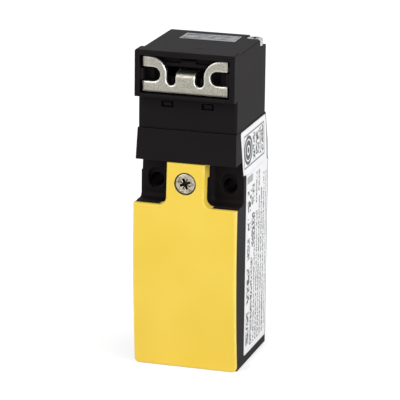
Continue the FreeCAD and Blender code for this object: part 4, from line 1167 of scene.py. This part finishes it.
# ---- the studio ----------------------------------------------------------------------------------
@dataclass
class Studio:
    """A pale floor, soft lamps and the camera."""

    camera_turn: float = 16.87
    camera_rise: float = 15.29
    camera_roll: float = 0.69
    distance_mm: float = 782.5
    lens_mm: float = 240.2
    sensor_mm: float = 36.0
    shift: Pair = (-0.0102, -0.0315)
    target_mm: Triple = (0.0, 1.0, 50.0)
    world_level: float = 0.42
    floor_size_mm: float = 6000.0
    floor_drop_mm: float = 0.2
    floor_shade: str = "F4F4F4"
    floor_roughness: float = 0.9
    floor_grain_mm: float = 40.0
    floor_grain_depth_mm: float = 0.01
    floor_glow: Pair = (0.42, 0.95)
    glow_reach: Pair = (0.25, 1.1)
    lamps: tuple[tuple[str, Triple, float, float], ...] = (
        ("key_lamp", (-330, -420, 420), 380, 2.0), ("side_lamp", (520, -160, 260), 320, 2.0),
        ("top_lamp", (40, 60, 620), 420, 0.25))

    def build(self) -> None:
        """Build all of the studio."""
        self.world()
        self.floor()
        self.camera()
        for name, place_mm, size_mm, power in self.lamps:
            self.lamp(name, place_mm, size_mm, power)
        log.info("studio")

    def seen_rays(self, tree: Tree) -> Socket:
        """Tell camera, glossy and transmission rays from the ones that light the switch.

        Args:
            tree: The node tree.

        Returns:
            A value of 1 for the rays that see.
        """
        path = add_node(tree, "ShaderNodeLightPath").outputs
        seen = path["Is Glossy Ray"]
        for kind in ("Is Transmission Ray", "Is Camera Ray"):
            seen = add_node(tree, "ShaderNodeMath", {0: seen, 1: path[kind]},
                            operation="MAXIMUM").outputs["Value"]
        return seen

    def world(self) -> None:
        """Light the scene evenly, with plain white for the camera and for reflections."""
        world = bpy.data.worlds.new("studio_world")
        bpy.context.scene.world = world
        world.use_nodes = True
        tree = world.node_tree
        tree.nodes.clear()
        level = ramp(tree, self.seen_rays(tree), 0.0, 1.0, self.world_level, 1.0)
        back = add_node(tree, "ShaderNodeBackground", {"Color": (1, 1, 1, 1), "Strength": level})
        add_node(tree, "ShaderNodeOutputWorld", {"Surface": back.outputs["Background"]})

    def floor(self) -> None:
        """Lay a pale matt floor under the switch; it is paler far away, and clear from below."""
        bpy.ops.mesh.primitive_plane_add(size=self.floor_size_mm * MM,
                                         location=(0, 0, -self.floor_drop_mm * MM))
        floor = bpy.context.object
        floor.name = "floor"
        material, tree, place = blank_material("pale_matt_floor")
        flat = add_node(tree, "ShaderNodeNewGeometry").outputs["Normal"]
        away = add_node(tree, "ShaderNodeVectorMath", {0: place}, operation="LENGTH").outputs["Value"]
        glow = ramp(tree, away, *self.glow_reach, *self.floor_glow)
        seen = add_node(tree, "ShaderNodeMath", {0: self.seen_rays(tree), 1: glow}, operation="MULTIPLY")
        below = add_node(tree, "ShaderNodeNewGeometry").outputs["Backfacing"]
        close_shader(tree, noise(tree, place, self.floor_grain_mm), self.floor_grain_depth_mm, flat, {
            "Base Color": linear(self.floor_shade), "Roughness": self.floor_roughness,
            "Emission Color": (1, 1, 1, 1), "Emission Strength": seen.outputs["Value"],
            "Alpha": ramp(tree, below, 0.0, 1.0, 1.0, 0.0)})
        floor.data.materials.append(material)

    def camera(self) -> None:
        """Stand the camera in front of the switch, a little to its right and above."""
        turn, rise, roll = [math.radians(angle)
                            for angle in (self.camera_turn, self.camera_rise, self.camera_roll)]
        back = Vector((math.sin(turn) * math.cos(rise), -math.cos(turn) * math.cos(rise), math.sin(rise)))
        level = (-back).cross(Vector((0, 0, 1))).normalized()
        upward = level.cross(-back)
        across = level * math.cos(roll) + upward * math.sin(roll)
        aloft = upward * math.cos(roll) - level * math.sin(roll)
        data = bpy.data.cameras.new("camera")
        data.lens = self.lens_mm
        data.sensor_width = self.sensor_mm
        data.shift_x, data.shift_y = self.shift
        camera = bpy.data.objects.new("camera", data)
        bpy.context.scene.collection.objects.link(camera)
        turned = Matrix((across, aloft, back)).transposed().to_4x4()
        place = (Vector(self.target_mm) + back * self.distance_mm) * MM
        camera.matrix_world = Matrix.Translation(place) @ turned
        bpy.context.scene.camera = camera

    def lamp(self, name: str, place_mm: Triple, size_mm: float, power: float) -> None:
        """Hang a square soft lamp that looks at the switch.

        Args:
            name: The lamp's name.
            place_mm: Where it hangs.
            size_mm: Its side.
            power: Its power in watts.
        """
        data = bpy.data.lights.new(name, "AREA")
        data.size = size_mm * MM
        data.energy = power
        lamp = bpy.data.objects.new(name, data)
        bpy.context.scene.collection.objects.link(lamp)
        place = Vector(place_mm) * MM
        aim = (Vector(self.target_mm) * MM - place).to_track_quat("-Z", "Y")
        lamp.matrix_world = Matrix.Translation(place) @ aim.to_matrix().to_4x4()


def main() -> None:
    """Build the studio, dress the nodes and add the fine pieces."""
    logging.basicConfig(level=logging.INFO, format="%(name)s: %(message)s")
    bpy.ops.object.select_all(action="DESELECT")
    scene = bpy.context.scene
    scene.view_settings.view_transform = "Standard"
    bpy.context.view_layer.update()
    wardrobe = Wardrobe()
    Studio().build()
    for name, finish in NODE_FINISHES.items():
        wardrobe.dress(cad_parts[name], finish)
        log.info("node %s: %s", name, finish.name)
    bench = Bench(wardrobe)
    for screws in SCREW_SETS:
        screws.build(bench)
    Springs().build(bench)
    HeadTrim().build(bench)
    ScrewRing().build(bench)
    CableThread().build(bench)


if __name__ == "__main__":
    main()
